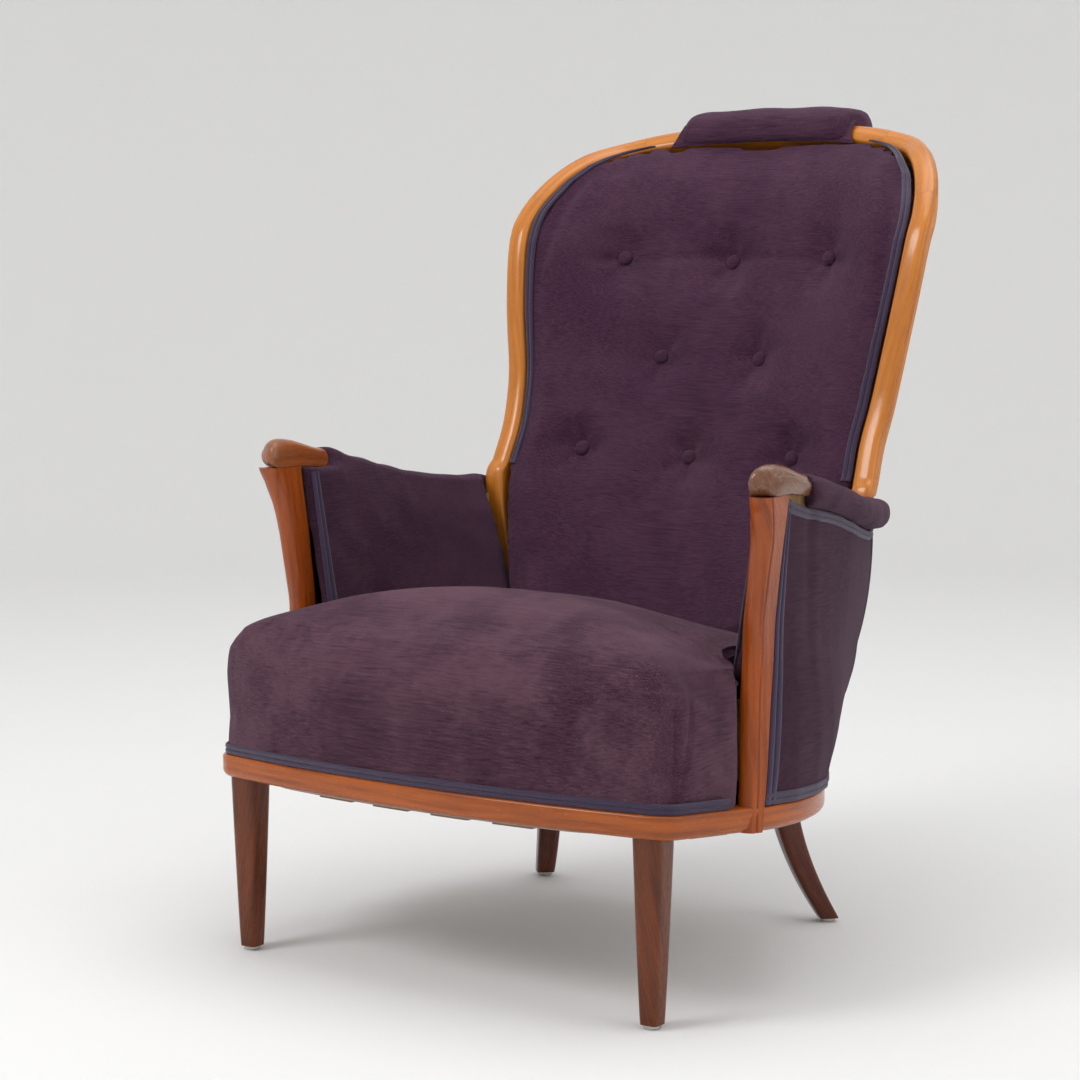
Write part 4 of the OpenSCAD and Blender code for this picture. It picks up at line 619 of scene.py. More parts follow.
def sums(tree, operation, a, b, c=None, clamp=False):
    links = {0: a, 1: b}
    if c is not None:
        links[2] = c
    return add(tree, "Math", links, operation=operation, use_clamp=clamp).outputs[0]


def times(tree, vector, scale):
    return add(tree, "VectorMath", {0: vector, 1: scale}, operation="MULTIPLY").outputs[0]


def noise(tree, vector, scale=1.0, detail=3.0, rough=0.5):
    settings = {"Vector": vector, "Scale": scale, "Detail": detail, "Roughness": rough}
    return add(tree, "TexNoise", settings).outputs[0]


def between(tree, value, low, high):
    """0 below low, 1 above high, smooth between."""
    return add(tree, "MapRange", {"Value": value, "From Min": low, "From Max": high},
               interpolation_type="SMOOTHSTEP").outputs[0]


def blend(tree, share, a, b, kind="MIX"):
    node = add(tree, "Mix", data_type="RGBA", blend_type=kind)
    for socket, source in ((node.inputs[0], share), (node.inputs[6], a), (node.inputs[7], b)):
        if isinstance(source, bpy.types.NodeSocket):
            tree.links.new(source, socket)
        else:
            socket.default_value = source
    return node.outputs[2]


def new_group(name, inputs, outputs):
    tree = bpy.data.node_groups.new(name, "ShaderNodeTree")
    for label, kind, start in inputs:
        socket = tree.interface.new_socket(label, in_out="INPUT", socket_type="NodeSocket" + kind)
        if start is not None:
            socket.default_value = start
    for label, kind in outputs:
        tree.interface.new_socket(label, in_out="OUTPUT", socket_type="NodeSocket" + kind)
    return tree, tree.nodes.new("NodeGroupInput").outputs, tree.nodes.new("NodeGroupOutput").inputs


def grain_group():
    """Wood: long figure and fine pores along Y of the vector, darker streaks and patches, pale scuffs."""
    tree, given, put = new_group(
        "grain", [("Vector", "Vector", None), ("Light", "Color", paint(200, 124, 62)),
                  ("Dark", "Color", paint(120, 60, 26)), ("Figure", "Float", 0.5), ("Scuffs", "Float", 0.3)],
        [("Color", "Color"), ("Roughness", "Float"), ("Height", "Float")])
    v = given["Vector"]
    warp = noise(tree, times(tree, v, (14, 2.2, 14)), 1.0, 2.0)
    bend = add(tree, "CombineXYZ", {0: sums(tree, "MULTIPLY", warp, 0.03),
                                    2: sums(tree, "MULTIPLY", warp, 0.02)}).outputs[0]
    shifted = add(tree, "VectorMath", {0: v, 1: bend}, operation="ADD").outputs[0]
    figure = noise(tree, times(tree, shifted, (150, 5, 150)), 1.0, 5.0, 0.62)
    pores = noise(tree, times(tree, shifted, (1500, 45, 1500)), 1.0, 2.0, 0.6)
    patches = noise(tree, times(tree, v, (22, 9, 22)), 1.0, 2.0)
    tone = sums(tree, "MULTIPLY_ADD", between(tree, figure, 0.34, 0.68), given["Figure"],
                sums(tree, "MULTIPLY", patches, 0.5))
    streaked = sums(tree, "MULTIPLY_ADD", between(tree, pores, 0.55, 0.75), 0.28, tone, clamp=True)
    color = blend(tree, streaked, given["Light"], given["Dark"])
    scuff = sums(tree, "MULTIPLY", between(tree, noise(tree, times(tree, v, (160, 120, 160)), 1.0, 4.0, 0.7),
                                           0.6, 0.7), given["Scuffs"], clamp=True)
    pale = blend(tree, 0.5, given["Light"], paint(226, 190, 150))
    put_color = blend(tree, scuff, color, pale)
    tree.links.new(put_color, put["Color"])
    tree.links.new(sums(tree, "MULTIPLY_ADD", pores, 0.14, sums(tree, "MULTIPLY_ADD", scuff, 0.25, 0.2)),
                   put["Roughness"])
    tree.links.new(sums(tree, "SUBTRACT", 1.0, pores), put["Height"])
    return tree


def weave_group():
    """Plain weave on the plane that the surface faces most, slubs along the weft, faded patches
    and pilling."""
    tree, given, put = new_group(
        "weave", [("Vector", "Vector", None), ("Normal", "Vector", None), ("Yarn", "Color", paint(66, 38, 60)),
                  ("Faded", "Color", paint(112, 86, 96)), ("Fade", "Float", 0.2), ("Pitch", "Float", 0.0022)],
        [("Color", "Color"), ("Height", "Float")])
    v = given["Vector"]
    wobble = noise(tree, v, 38.0, 2.0)
    turn = sums(tree, "DIVIDE", 6.2832, given["Pitch"])
    parts = add(tree, "SeparateXYZ", {0: v}).outputs
    angles = [sums(tree, "MULTIPLY_ADD", wobble, 14.0, sums(tree, "MULTIPLY", parts[k], turn))
              for k in range(3)]
    waves = [add(tree, "Math", {0: angle}, operation="SINE").outputs[0] for angle in angles]
    sides = add(tree, "SeparateXYZ", {0: given["Normal"]}).outputs
    shares = [sums(tree, "POWER", add(tree, "Math", {0: sides[k]}, operation="ABSOLUTE").outputs[0], 4.0)
              for k in range(3)]
    total = sums(tree, "ADD", sums(tree, "ADD", shares[0], shares[1]), sums(tree, "ADD", shares[2], 0.001))
    weave = 0.0
    for k, (a, b) in enumerate(((1, 2), (0, 2), (0, 1))):
        crossing = sums(tree, "MULTIPLY", waves[a], waves[b])
        weave = sums(tree, "MULTIPLY_ADD", crossing, sums(tree, "DIVIDE", shares[k], total), weave)
    slub_x = noise(tree, times(tree, v, (26, 620, 620)), 1.0, 3.0, 0.7)
    slub_y = noise(tree, times(tree, v, (620, 26, 620)), 1.0, 3.0, 0.7)
    slub = sums(tree, "ADD", sums(tree, "MULTIPLY", slub_x, sums(tree, "SUBTRACT", 1.0, shares[0])),
                sums(tree, "MULTIPLY", slub_y, shares[0]))
    patches = noise(tree, v, 9.0, 4.0, 0.65)
    pill = between(tree, noise(tree, v, 420.0, 2.0, 0.6), 0.62, 0.74)
    rubbed = sums(tree, "ADD", patches, sums(tree, "MULTIPLY", slub, 0.35))
    worn = sums(tree, "MULTIPLY", between(tree, rubbed, 0.52, 0.86), given["Fade"], clamp=True)
    deep = blend(tree, 1.0, given["Yarn"], (0.55, 0.5, 0.56, 1), "MULTIPLY")
    bright = blend(tree, 0.3, given["Yarn"], given["Faded"])
    thread = blend(tree, sums(tree, "MULTIPLY_ADD", weave, 0.3, sums(tree, "MULTIPLY_ADD", slub, 2.2, -0.62),
                              clamp=True), deep, bright)
    color = blend(tree, worn, thread, given["Faded"])
    color = blend(tree, sums(tree, "MULTIPLY", pill, sums(tree, "MULTIPLY", given["Fade"], 0.7)), color,
                  paint(150, 124, 126))
    tree.links.new(color, put["Color"])
    threads = sums(tree, "MULTIPLY_ADD", weave, 0.3, sums(tree, "MULTIPLY", slub, 1.4))
    tree.links.new(sums(tree, "ADD", threads, sums(tree, "MULTIPLY", pill, 0.3)), put["Height"])
    return tree


def scatter_group():
    """Dust and marks: two noises of unlike size, cut off low and high."""
    tree, given, put = new_group("marks", [("Vector", "Vector", None), ("Size", "Float", 40.0),
                                           ("Amount", "Float", 0.5)], [("Mask", "Float")])
    coarse = noise(tree, given["Vector"], given["Size"], 4.0, 0.7)
    fine = noise(tree, given["Vector"], sums(tree, "MULTIPLY", given["Size"], 6.0), 3.0, 0.7)
    mixed = sums(tree, "MULTIPLY_ADD", fine, 0.4, sums(tree, "MULTIPLY", coarse, 0.6))
    cut = sums(tree, "SUBTRACT", 0.72, sums(tree, "MULTIPLY", given["Amount"], 0.3))
    tree.links.new(between(tree, mixed, cut, sums(tree, "ADD", cut, 0.12)), put["Mask"])
    return tree


GRAIN, WEAVE, MARKS = grain_group(), weave_group(), scatter_group()


def new_material(name):
    material = bpy.data.materials.new(name)
    material.use_nodes = True
    return material, material.node_tree, material.node_tree.nodes["Principled BSDF"]


def place_group(tree, group, links):
    node = tree.nodes.new("ShaderNodeGroup")
    node.node_tree = group
    for socket, source in links.items():
        if isinstance(source, bpy.types.NodeSocket):
            tree.links.new(source, node.inputs[socket])
        else:
            node.inputs[socket].default_value = source
    return node.outputs


def bumped(tree, shader, height, strength, distance):
    bump = add(tree, "Bump", {"Height": height, "Strength": strength, "Distance": distance})
    tree.links.new(bump.outputs[0], shader.inputs["Normal"])


def wood(name, light, dark, figure=0.5, scuffs=0.3, coat=0.25, turned=None, worn=None):
    """Varnished wood with the grain along the piece's own length, or along a turned object axis."""
    material, tree, shader = new_material(name)
    coords = add(tree, "TexCoord").outputs
    vector = coords["UV"] if turned is None else \
        add(tree, "Mapping", {"Vector": coords["Object"], "Rotation": turned}).outputs[0]
    grain = place_group(tree, GRAIN, {"Vector": vector, "Light": light, "Dark": dark, "Figure": figure,
                                      "Scuffs": scuffs})
    color = grain["Color"]
    if worn is not None:
        tone, reach, amount = worn
        y = add(tree, "SeparateXYZ", {0: coords["Object"]}).outputs[1]
        marks = place_group(tree, MARKS, {"Vector": coords["Object"], "Size": 55.0, "Amount": amount})["Mask"]
        near = between(tree, sums(tree, "MULTIPLY", y, -1.0), reach[0], reach[1])
        share = sums(tree, "MULTIPLY", near, sums(tree, "MULTIPLY_ADD", marks, 0.75, 0.25), clamp=True)
        color = blend(tree, share, color, tone)
        specks = between(tree, noise(tree, coords["Object"], 520.0, 2.0, 0.6), 0.66, 0.72)
        color = blend(tree, sums(tree, "MULTIPLY", specks, near), color, paint(58, 36, 30))
    tree.links.new(color, shader.inputs["Base Color"])
    tree.links.new(grain["Roughness"], shader.inputs["Roughness"])
    shader.inputs["Coat Weight"].default_value = coat
    shader.inputs["Coat Roughness"].default_value = 0.16
    shader.inputs["Specular IOR Level"].default_value = 0.3
    bumped(tree, shader, grain["Height"], 0.25, 0.0003)
    return material


def woven(name, yarn, faded, fade, pitch=0.0034, sheen=0.16, bump=0.75):
    """Wool cloth: the weave group on object places, a soft sheen, no shine."""
    material, tree, shader = new_material(name)
    coords = add(tree, "TexCoord").outputs
    weave = place_group(tree, WEAVE, {"Vector": coords["Object"], "Normal": coords["Normal"], "Yarn": yarn,
                                      "Faded": faded, "Fade": fade, "Pitch": pitch})
    tree.links.new(weave["Color"], shader.inputs["Base Color"])
    shader.inputs["Roughness"].default_value = 0.9
    shader.inputs["Specular IOR Level"].default_value = 0.2
    shader.inputs["Sheen Weight"].default_value = sheen
    shader.inputs["Sheen Roughness"].default_value = 0.45
    shader.inputs["Sheen Tint"].default_value = paint(214, 186, 206)
    bumped(tree, shader, weave["Height"], bump, 0.0011)
    return material


def braided(name, cord, dip_shade):
    """Gimp: slanting wraps along each cord, with painted shade darkening the dip between wraps."""
    material, tree, shader = new_material(name)
    coords = add(tree, "TexCoord").outputs
    u, v = add(tree, "SeparateXYZ", {0: coords["UV"]}).outputs[:2]
    slant = sums(tree, "MULTIPLY_ADD", u, 0.8, v)
    wraps = add(tree, "Math", {0: sums(tree, "MULTIPLY", slant, 3600.0)}, operation="SINE").outputs[0]
    fuzz = noise(tree, coords["Object"], 900.0, 3.0, 0.6)
    tone = sums(tree, "MULTIPLY_ADD", wraps, 0.28, fuzz, clamp=True)
    # the dark colour in the dips of the wraps is painted shade
    tree.links.new(blend(tree, tone, dip_shade, cord), shader.inputs["Base Color"])
    shader.inputs["Roughness"].default_value = 0.85
    shader.inputs["Sheen Weight"].default_value = 0.3
    bumped(tree, shader, sums(tree, "MULTIPLY_ADD", wraps, 0.5, fuzz), 0.5, 0.0007)
    return material


def metal(name, color, rough):
    """Plated steel with dull spots."""
    material, tree, shader = new_material(name)
    coords = add(tree, "TexCoord").outputs
    mask = place_group(tree, MARKS, {"Vector": coords["Object"], "Size": 160.0, "Amount": 0.6})["Mask"]
    tree.links.new(blend(tree, mask, color, paint(120, 112, 100)), shader.inputs["Base Color"])
    shader.inputs["Metallic"].default_value = 1.0
    tree.links.new(sums(tree, "MULTIPLY_ADD", mask, 0.35, rough), shader.inputs["Roughness"])
    bumped(tree, shader, mask, 0.1, 0.0002)
    return material


HONEY_DARK = paint(122, 60, 24)
post_wood = wood("post_wood", paint(178, 86, 24), paint(112, 44, 8), 0.45, 0.04, 0.25)
frame_wood = wood("frame_wood", paint(220, 138, 46), paint(160, 84, 20), 0.35, 0.03, 0.5)
rail_wood = wood("rail_wood", paint(192, 98, 28), paint(112, 46, 8), 0.45, 0.16, 0.3)
leg_wood = wood("leg_wood", paint(124, 58, 16), paint(64, 24, 5), 0.45, 0.04, 0.15)
rear_leg_wood = wood("rear_leg_wood", paint(104, 44, 18), paint(50, 18, 8), 0.45, 0.03, 0.15)
GREY_BROWN = paint(126, 92, 72)
knuckle_right_wood = wood("knuckle_right_wood", paint(176, 98, 50), HONEY_DARK, 0.5, 0.3, 0.3,
                          worn=(paint(140, 96, 68), (0.215, 0.262), 0.9))
knuckle_left_wood = wood("knuckle_left_wood", paint(136, 84, 54), paint(78, 44, 28), 0.5, 0.2, 0.5,
                         worn=(GREY_BROWN, (0.15, 0.2), 0.8))
hidden_wood = wood("hidden_wood", paint(206, 176, 130), paint(150, 112, 70), 0.5, 0.2, 0.0,
                   turned=(0, 0, math.pi / 2))
upright_wood = wood("upright_wood", paint(200, 168, 122), paint(146, 108, 68), 0.5, 0.2, 0.0,
                    turned=(math.pi / 2, 0, 0))
YARN, FADED = paint(60, 27, 54), paint(106, 72, 92)
back_cloth = woven("back_cloth", YARN, FADED, 0.2)
# the seat's paler faded colour and stronger fade are partly real fading and partly a painted highlight that
# makes the seat paler
seat_cloth_faded_and_painted_light = woven("seat_cloth_faded_and_painted_light", paint(60, 29, 50), paint(120, 86, 98), 0.4)
# the inside arms' yarn, darker than the back's, is painted shade
arm_cloth_painted_shade = woven("arm_cloth_painted_shade", paint(52, 24, 46), FADED, 0.16)
# the outside covers' yarn, darker still than the back's, is painted shade
outside_cloth_painted_shade = woven("outside_cloth_painted_shade", paint(46, 21, 38), FADED, 0.1)
jute_cloth = woven("jute_cloth", paint(150, 122, 86), paint(184, 158, 120), 0.3, 0.0032, 0.0)
web_cloth = woven("web_cloth", paint(168, 142, 100), paint(120, 84, 58), 0.3, 0.0028, 0.0)
dust_cloth = woven("dust_cloth", paint(196, 190, 180), paint(150, 140, 128), 0.4, 0.0014, 0.0, 0.3)
# the second colour is painted shade for the dips between the wraps
gimp_braid = braided("gimp_braid", paint(66, 46, 84), paint(32, 18, 42))
plated = metal("plated_steel", paint(190, 188, 182), 0.25)
spring_steel = metal("spring_steel", paint(150, 140, 128), 0.35)


def dress(piece, material, slot, *nodes):
    piece.data.materials.clear()
    piece.data.materials.append(material)
    if nodes:
        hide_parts(*nodes)
    return piece


def carried_over(material, *nodes):
    for node in nodes:
        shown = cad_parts[node]
        if not shown.data.materials:
            shown.data.materials.append(material)
        for slot in shown.material_slots:
            slot.material = material


def lay_braid(name, form, *nodes):
    dress(tube(name, form, 60), gimp_braid, "braid", *nodes)


# ---------------------------------------------------------------- wooden pieces

LEFT_AND_RIGHT = (("left", lambda p: p), ("right", mirrored))

dress(tube("front_rail", banded(both_halves(front_half), band), 30), rail_wood, "show_wood",
      "seat_rail_front")
rear_both = np.concatenate([rear_half, rear_half[-2::-1] * [-1, 1, -1] + [0, 0, 180]])
dress(tube("back_rail", banded(rear_both, band), 30), rail_wood, "show_wood", "seat_rail_back")
for side, turned in LEFT_AND_RIGHT:
    dress(tube("side_rail_" + side, turned(banded(side_half, band)), 30), rail_wood, "show_wood",
          "seat_rail_" + side)
    dress(tube("front_leg_" + side + "_turned", turned(front_leg_form()), 50), leg_wood, "dark_wood",
          "front_leg_" + side)
    dress(tube("rear_leg_" + side + "_sabre", turned(rear_leg_form()), 50), rear_leg_wood, "dark_wood",
          "rear_leg_" + side)
    dress(tube("post_" + side, turned(post_form()), 50), post_wood, "show_wood", "arm_post_" + side)
    dress(tube("knuckle_" + side, turned(knuckle_form()), 60),
          knuckle_left_wood if side == "left" else knuckle_right_wood, "worn_wood", "arm_knuckle_" + side)
    dress(tube("stile_" + side, turned(moulding(0, STILE_JOINT)), 50), frame_wood, "show_wood",
          "back_stile_" + side)
    dress(tube("shoulder_" + side, turned(moulding(STILE_JOINT + JOINT_LINE, TOP_JOINT)), 50), frame_wood,
          "show_wood", "back_shoulder_" + side)
dress(tube("top_rail", moulding(TOP_JOINT + JOINT_LINE, 2 * FRAME_END - TOP_JOINT - JOINT_LINE), 50),
      frame_wood, "show_wood", "back_top_rail")

carried_over(hidden_wood, "tack_frame", "corner_blocks", "back_cross_rail")
carried_over(upright_wood, "arm_rail_left", "arm_rail_right", "leg_dowels")
carried_over(plated, "foot_glides", "block_screws")
carried_over(spring_steel, "seat_springs")
carried_over(web_cloth, "seat_webbing", "back_webbing")
carried_over(jute_cloth, "seat_hessian")

# ---------------------------------------------------------------- seat levels and the arm's inside

SEAT_CROWN_Z, SEAT_FALL, BORDER_H, SIDE_SHARE = 434, math.radians(8), 128, 0.63
NOTCH_Z = SEAT_CROWN_Z - BORDER_H * SIDE_SHARE
BRAID_W = 12
SEAT_MIDDLE = np.array([0, 0.4 * SEAT_D])
PAD_LEAN = (0.15, 0.5)
HESS_Z = SEAT_CROWN_Z - BORDER_H * 0.8
EDGE_ROUND, NOTCH_EDGE = 30, 0.35


def fall(y):
    """How far the seat has dropped at y, on its backward slope."""
    return math.tan(SEAT_FALL) * (y - SEAT_MIDDLE[1])


def pad_inside(u, z):
    """The arm pad's inner face: further in the further it is below the crest."""
    return -PAD_IN - lerp(*PAD_LEAN, np.clip(u, 0, 1)) * (arm_crest(u) - z)


# ---------------------------------------------------------------- outside sheets and braid

for side, turned in LEFT_AND_RIGHT:
    outer, inner = outside_arm_form()
    sheet = cloth_between("outside_arm_" + side + "_cloth", metres(outer), metres(inner))
    if side == "right":
        sheet.data.transform(Matrix.Scale(-1, 4, (1, 0, 0)))
        sheet.data.flip_normals()
    dress(sheet, outside_cloth_painted_shade, "cloth", "outside_arm_" + side)
back_sheet = cloth_between("outside_back_cloth", *(metres(g) for g in outside_back_form()))
dress(back_sheet, outside_cloth_painted_shade, "cloth", "outside_back")

front_line = np.concatenate([front_half[:-1], [[*lerp(corner_end, post_stand, 0.7), -TOE_OUT]]])
line = both_halves(front_line)
foot = inset(line, 7 - 0.9)
low = np.concatenate([foot, (under(foot[:, 1]) + RAIL_H + 0.3)[:, None]], 1)
outwards = np.concatenate([polar(line[:, 2]), 0 * line[:, 2:]], 1)
lay_braid("seat_braid", braid_form(low, low + [0, 0, BRAID_W], outwards), "seat_gimp")

for side, turned in LEFT_AND_RIGHT:
    wide = BRAID_W / (10 * np.linalg.norm(cover_at(0.1, 0.5) - cover_at(0, 0.5)))
    tall = BRAID_W / (cover_at(0.5, 1)[..., 2].item() - cover_at(0.5, 0)[..., 2].item())
    t, u = np.linspace(0, 1, 60), np.linspace(0, 1, 80)
    strips = {"front": (cover_at(0, t), cover_at(wide, t), cover_normal(0, t)),
              "bottom": (cover_at(u, 0), cover_at(u, tall), cover_normal(u, 0)),
              "top": (cover_at(u, 1), cover_at(u, 1 - tall), cover_normal(u, 1))}
    for place, (a, b, away) in strips.items():
        away = away * np.sign((away * [1, 0, 0]).sum(-1, keepdims=True))
        lay_braid("arm_braid_" + place + "_" + side, turned(braid_form(a, b, away, 0.4)), "arm_gimp_" + side)
    v = np.linspace(0.05, 0.958, 110)
    a, b = back_front(1, v), back_front(0.955, v)
    away = unit(np.cross(b - a, back_front(0.955, v + 0.002) - b))
    away = away * -np.sign(away[:, 1:2])
    lay_braid("back_braid_" + side, turned(braid_form(a, b, away, 0.3)), "back_gimp")
    v = np.linspace(outback_low, 0.946, 110)
    a, b = outback_at(1, v, 3), outback_at(0.955, v, 3)
    away = unit(np.cross(b - a, outback_at(0.955, v + 0.002, 3) - b))
    away = away * np.sign(away[:, 1:2])
    lay_braid("outside_back_braid_" + side, turned(braid_form(a, b, away, 0.2)), "outside_back_gimp")
for side, turned in LEFT_AND_RIGHT:
    z = np.linspace(NOTCH_Z, ARM_JOINT_Z - 7, 60)
    shares = (0.012, 0.012 + BRAID_W / (BACK_FOOT_Y - arm_start))
    edges = [arm_point(v + 0 * z, pad_inside(v, z) - 0.3, z) for v in shares]
    away = unit(np.cross(edges[1] - edges[0], np.gradient(edges[0], axis=0)))
    away = away * -np.sign(away[:, :1])
    lay_braid("inside_arm_braid_" + side, turned(braid_form(*edges, away, 0.4)))
u = np.linspace(-1, 1, 100)
strip = BRAID_W / (BACK_TOP_Z - back_foot_z)
a, b = outback_at(u, outback_low, 3), outback_at(u, outback_low + strip, 3)
lay_braid("outside_back_braid_bottom", braid_form(a, b, np.tile([0.0, 1, 0], (100, 1)), 0.2),
          "outside_back_gimp")

# ---------------------------------------------------------------- dust cover

ring = np.concatenate([whole_half, whole_half[-2:0:-1] * [-1, 1, -1] + [0, 0, 180]])
COVER_SAG = 12


def dust_cover_form():
    """Rings that shrink to the middle, drawn in round the four legs. The sag is COVER_SAG in the
    middle and falls off with the share squared."""
    edge = inset(ring, 9)
    legs = np.array([front_leg, front_leg * [-1, 1], rear_leg, rear_leg * [-1, 1]])
    near = np.exp(-(np.linalg.norm(edge[:, None] - legs, axis=-1) / 46)**2).max(1)
    keep = (1 - 0.2 * near)[:, None]
    rings = []
    for g in np.linspace(1, 0.03, 22):
        xy = lerp(SEAT_MIDDLE, edge, g * keep)
        rings.append(np.column_stack([xy, under(xy[:, 1]) - 4.6 + 3.2 - COVER_SAG * (1 - g * g)]))
    return np.stack(rings)


lower = dust_cover_form()
dust = tube("dust_cover_cloth", metres(np.concatenate([lower[::-1] + [0, 0, 1.5], lower])), 60)
dress(dust, dust_cloth, "jute", "dust_cover")

# ---------------------------------------------------------------- padded pieces

PRESSURE, STEPS = 4.0, 20


def vertex_data(mesh):
    """Places and normals of a mesh, one row each."""
    data = []
    for source, key in ((mesh.vertices, "co"), (mesh.vertex_normals, "vector")):
        values = np.empty(len(mesh.vertices) * 3, np.float32)
        source.foreach_get(key, values)
        data.append(values.reshape(-1, 3))
    return data


def stuffed(name, source, thinner, voxel, most, free, fold):
    """Remeshes a solid if voxel is given, makes it a little thinner, blows it up as cloth and caps
    each move. A remeshed one is smoothed and subdivided once. Folds come last."""
    bm = bmesh.new()
    bm.from_mesh(source)
    bmesh.ops.remove_doubles(bm, verts=bm.verts, dist=0.00002)
    mesh = bpy.data.meshes.new(name)
    bm.to_mesh(mesh)
    bm.free()
    piece = bpy.data.objects.new(name, mesh)
    bpy.context.scene.collection.objects.link(piece)
    bpy.context.view_layer.objects.active = piece
    if voxel:
        remesh = piece.modifiers.new("remesh", "REMESH")
        remesh.mode, remesh.voxel_size, remesh.use_smooth_shade = "VOXEL", voxel, True
        settle(piece)
    mesh = piece.data
    start, normal = vertex_data(mesh)
    share = np.clip(free(start, normal), 0, 1)[:, None].astype(np.float32)
    first = start - thinner * share * normal
    mesh.vertices.foreach_set("co", first.ravel())
    mesh.update()
    cloth = piece.modifiers.new("cloth", "CLOTH")
    cloth.settings.use_pressure = True
    cloth.settings.uniform_pressure_force = PRESSURE
    cloth.settings.quality = 5
    cloth.settings.effector_weights.gravity = 0
    cloth.settings.tension_stiffness = 15
    cloth.settings.bending_stiffness = 0.8
    cloth.point_cache.frame_start, cloth.point_cache.frame_end = 1, STEPS
    for k in range(1, STEPS + 1):
        bpy.context.scene.frame_set(k)
    settle(piece)
    bpy.context.scene.frame_set(1)
    mesh = piece.data
    move = vertex_data(mesh)[0] - first
    size = np.linalg.norm(move, axis=1, keepdims=True)
    held = np.minimum(1, most * share / np.maximum(size, 1e-9))
    mesh.vertices.foreach_set("co", (first + move * held).astype(np.float32).ravel())
    if voxel:
        smooth = piece.modifiers.new("smooth", "SMOOTH")
        smooth.iterations, smooth.factor = 3, 0.5
        finer = piece.modifiers.new("finer", "SUBSURF")
        finer.levels = finer.render_levels = 1
        settle(piece)
    at, normal = vertex_data(piece.data)
    folded = (at + fold(at, normal)[:, None] * normal).astype(np.float32)
    piece.data.vertices.foreach_set("co", folded.ravel())
    piece.data.shade_smooth()
    piece.data.update()
    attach(piece, "root")
    return piece


def settle(piece):
    """Puts the modifiers' result into the mesh and takes them off."""
    bpy.context.view_layer.update()
    done = bpy.data.meshes.new_from_object(piece.evaluated_get(bpy.context.evaluated_depsgraph_get()))
    piece.modifiers.clear()
    piece.data = done


def ditch(distance, width, depth):
    return -depth * np.exp(-(distance / width)**2)


def seat_outline(z):
    """Left half of the outline at a height: front arc and corner, the post's front and inner side,
    the arm's inside, the rear. Columns: x, y, 1 where it stands on the rail, share of the inset."""
    s = np.clip((z - under(post_foot[1])) / (ARM_JOINT_Z - under(post_foot[1])), 0, 1)
    w, x1, y1 = (float(v) for v in (POST_W * look(POST, s, 4), post_outer_x(s), post_front_y(s) - 1))
    front = [[x, y, 1, 1] for x, y, a in front_half if y < lerp(corner_end[1], post_stand[1], 0.9)]
    last = np.array([x1 - w * 0.62, y1 - w * 0.2])
    rows = front + [[*lerp(corner_end, last, 0.6), 1, 0.8], [*last, 1, NOTCH_EDGE]]
    side = []
    for u in (0.03, 0.12, 0.22, 0.33, 0.44, 0.55, 0.65, 0.73):
        y = lerp(arm_start, BACK_FOOT_Y, u)
        zz = max(z, NOTCH_Z - fall(y))
        x, y = arm_point(u, pad_inside(u, zz) - 0.6, zz)[0, :2]
        side.append([x, y, 0, NOTCH_EDGE])
    rows += [[lerp(side[0][0], x1 - w, 0.6), y1, 0.6, NOTCH_EDGE],
             [side[0][0], max(y1, side[0][1] - w * 0.8), 0.2, NOTCH_EDGE]]
    x, y = side[-1][:2]
    return np.array(rows + side + [[x - 8, y + 13, 0, NOTCH_EDGE], [x - 26, y + 19.5, 0, NOTCH_EDGE],
                                   [x * 0.5, y + 22, 0, NOTCH_EDGE], [0, y + 23.4, 0, NOTCH_EDGE]])


AROUND = 480


def outline_loop(z):
    h = seat_outline(z)
    return np.concatenate([h, h[-2:0:-1] * [-1, 1, 1, 1]])


def whole_outline(z):
    """Both halves with the corners softened: each column is spread over AROUND places, by the
    distance round the loop at mid height, and averaged over its neighbours."""
    loop = outline_loop(z)
    closed = np.vstack([MID_LOOP, MID_LOOP[:1]])[:, :2]
    step = np.concatenate([[0], np.cumsum(np.linalg.norm(np.diff(closed, axis=0), axis=1))])
    at = np.linspace(0, step[-1], AROUND, endpoint=False)
    dense = np.stack([np.interp(at, step, np.append(loop[:, k], loop[0, k])) for k in range(4)], 1)
    for _ in range(4):
        dense = (np.roll(dense, 1, 0) + 2 * dense + np.roll(dense, -1, 0)) / 4
    return dense


MID_LOOP = outline_loop(300.0)

# Step, inset in mm, share of the way out, share up the border, share up the crown
SEAT_LEVELS = [[-4, 7, 1, 0, 0], [-3, 5.2, 1, 0.25, 0], [-2, 4, 1, 0.55, 0], [-1, 4.6, 1, 0.8, 0],
               [0, 9.5, 1, 1, 0], [1, 20.5, 1, 1, 0.17], [2, 37, 1, 1, 0.3], [3, 37, 0.8, 1, 0.52],
               [4, 37, 0.6, 1, 0.74], [5, 37, 0.38, 1, 0.91], [6, 37, 0.17, 1, 0.985], [7, 37, 0.02, 1, 1]]


def over_hessian(y):
    """Height just over the hessian, which falls less than the seat."""
    return HESS_Z - 0.62 * fall(y) + 6.5


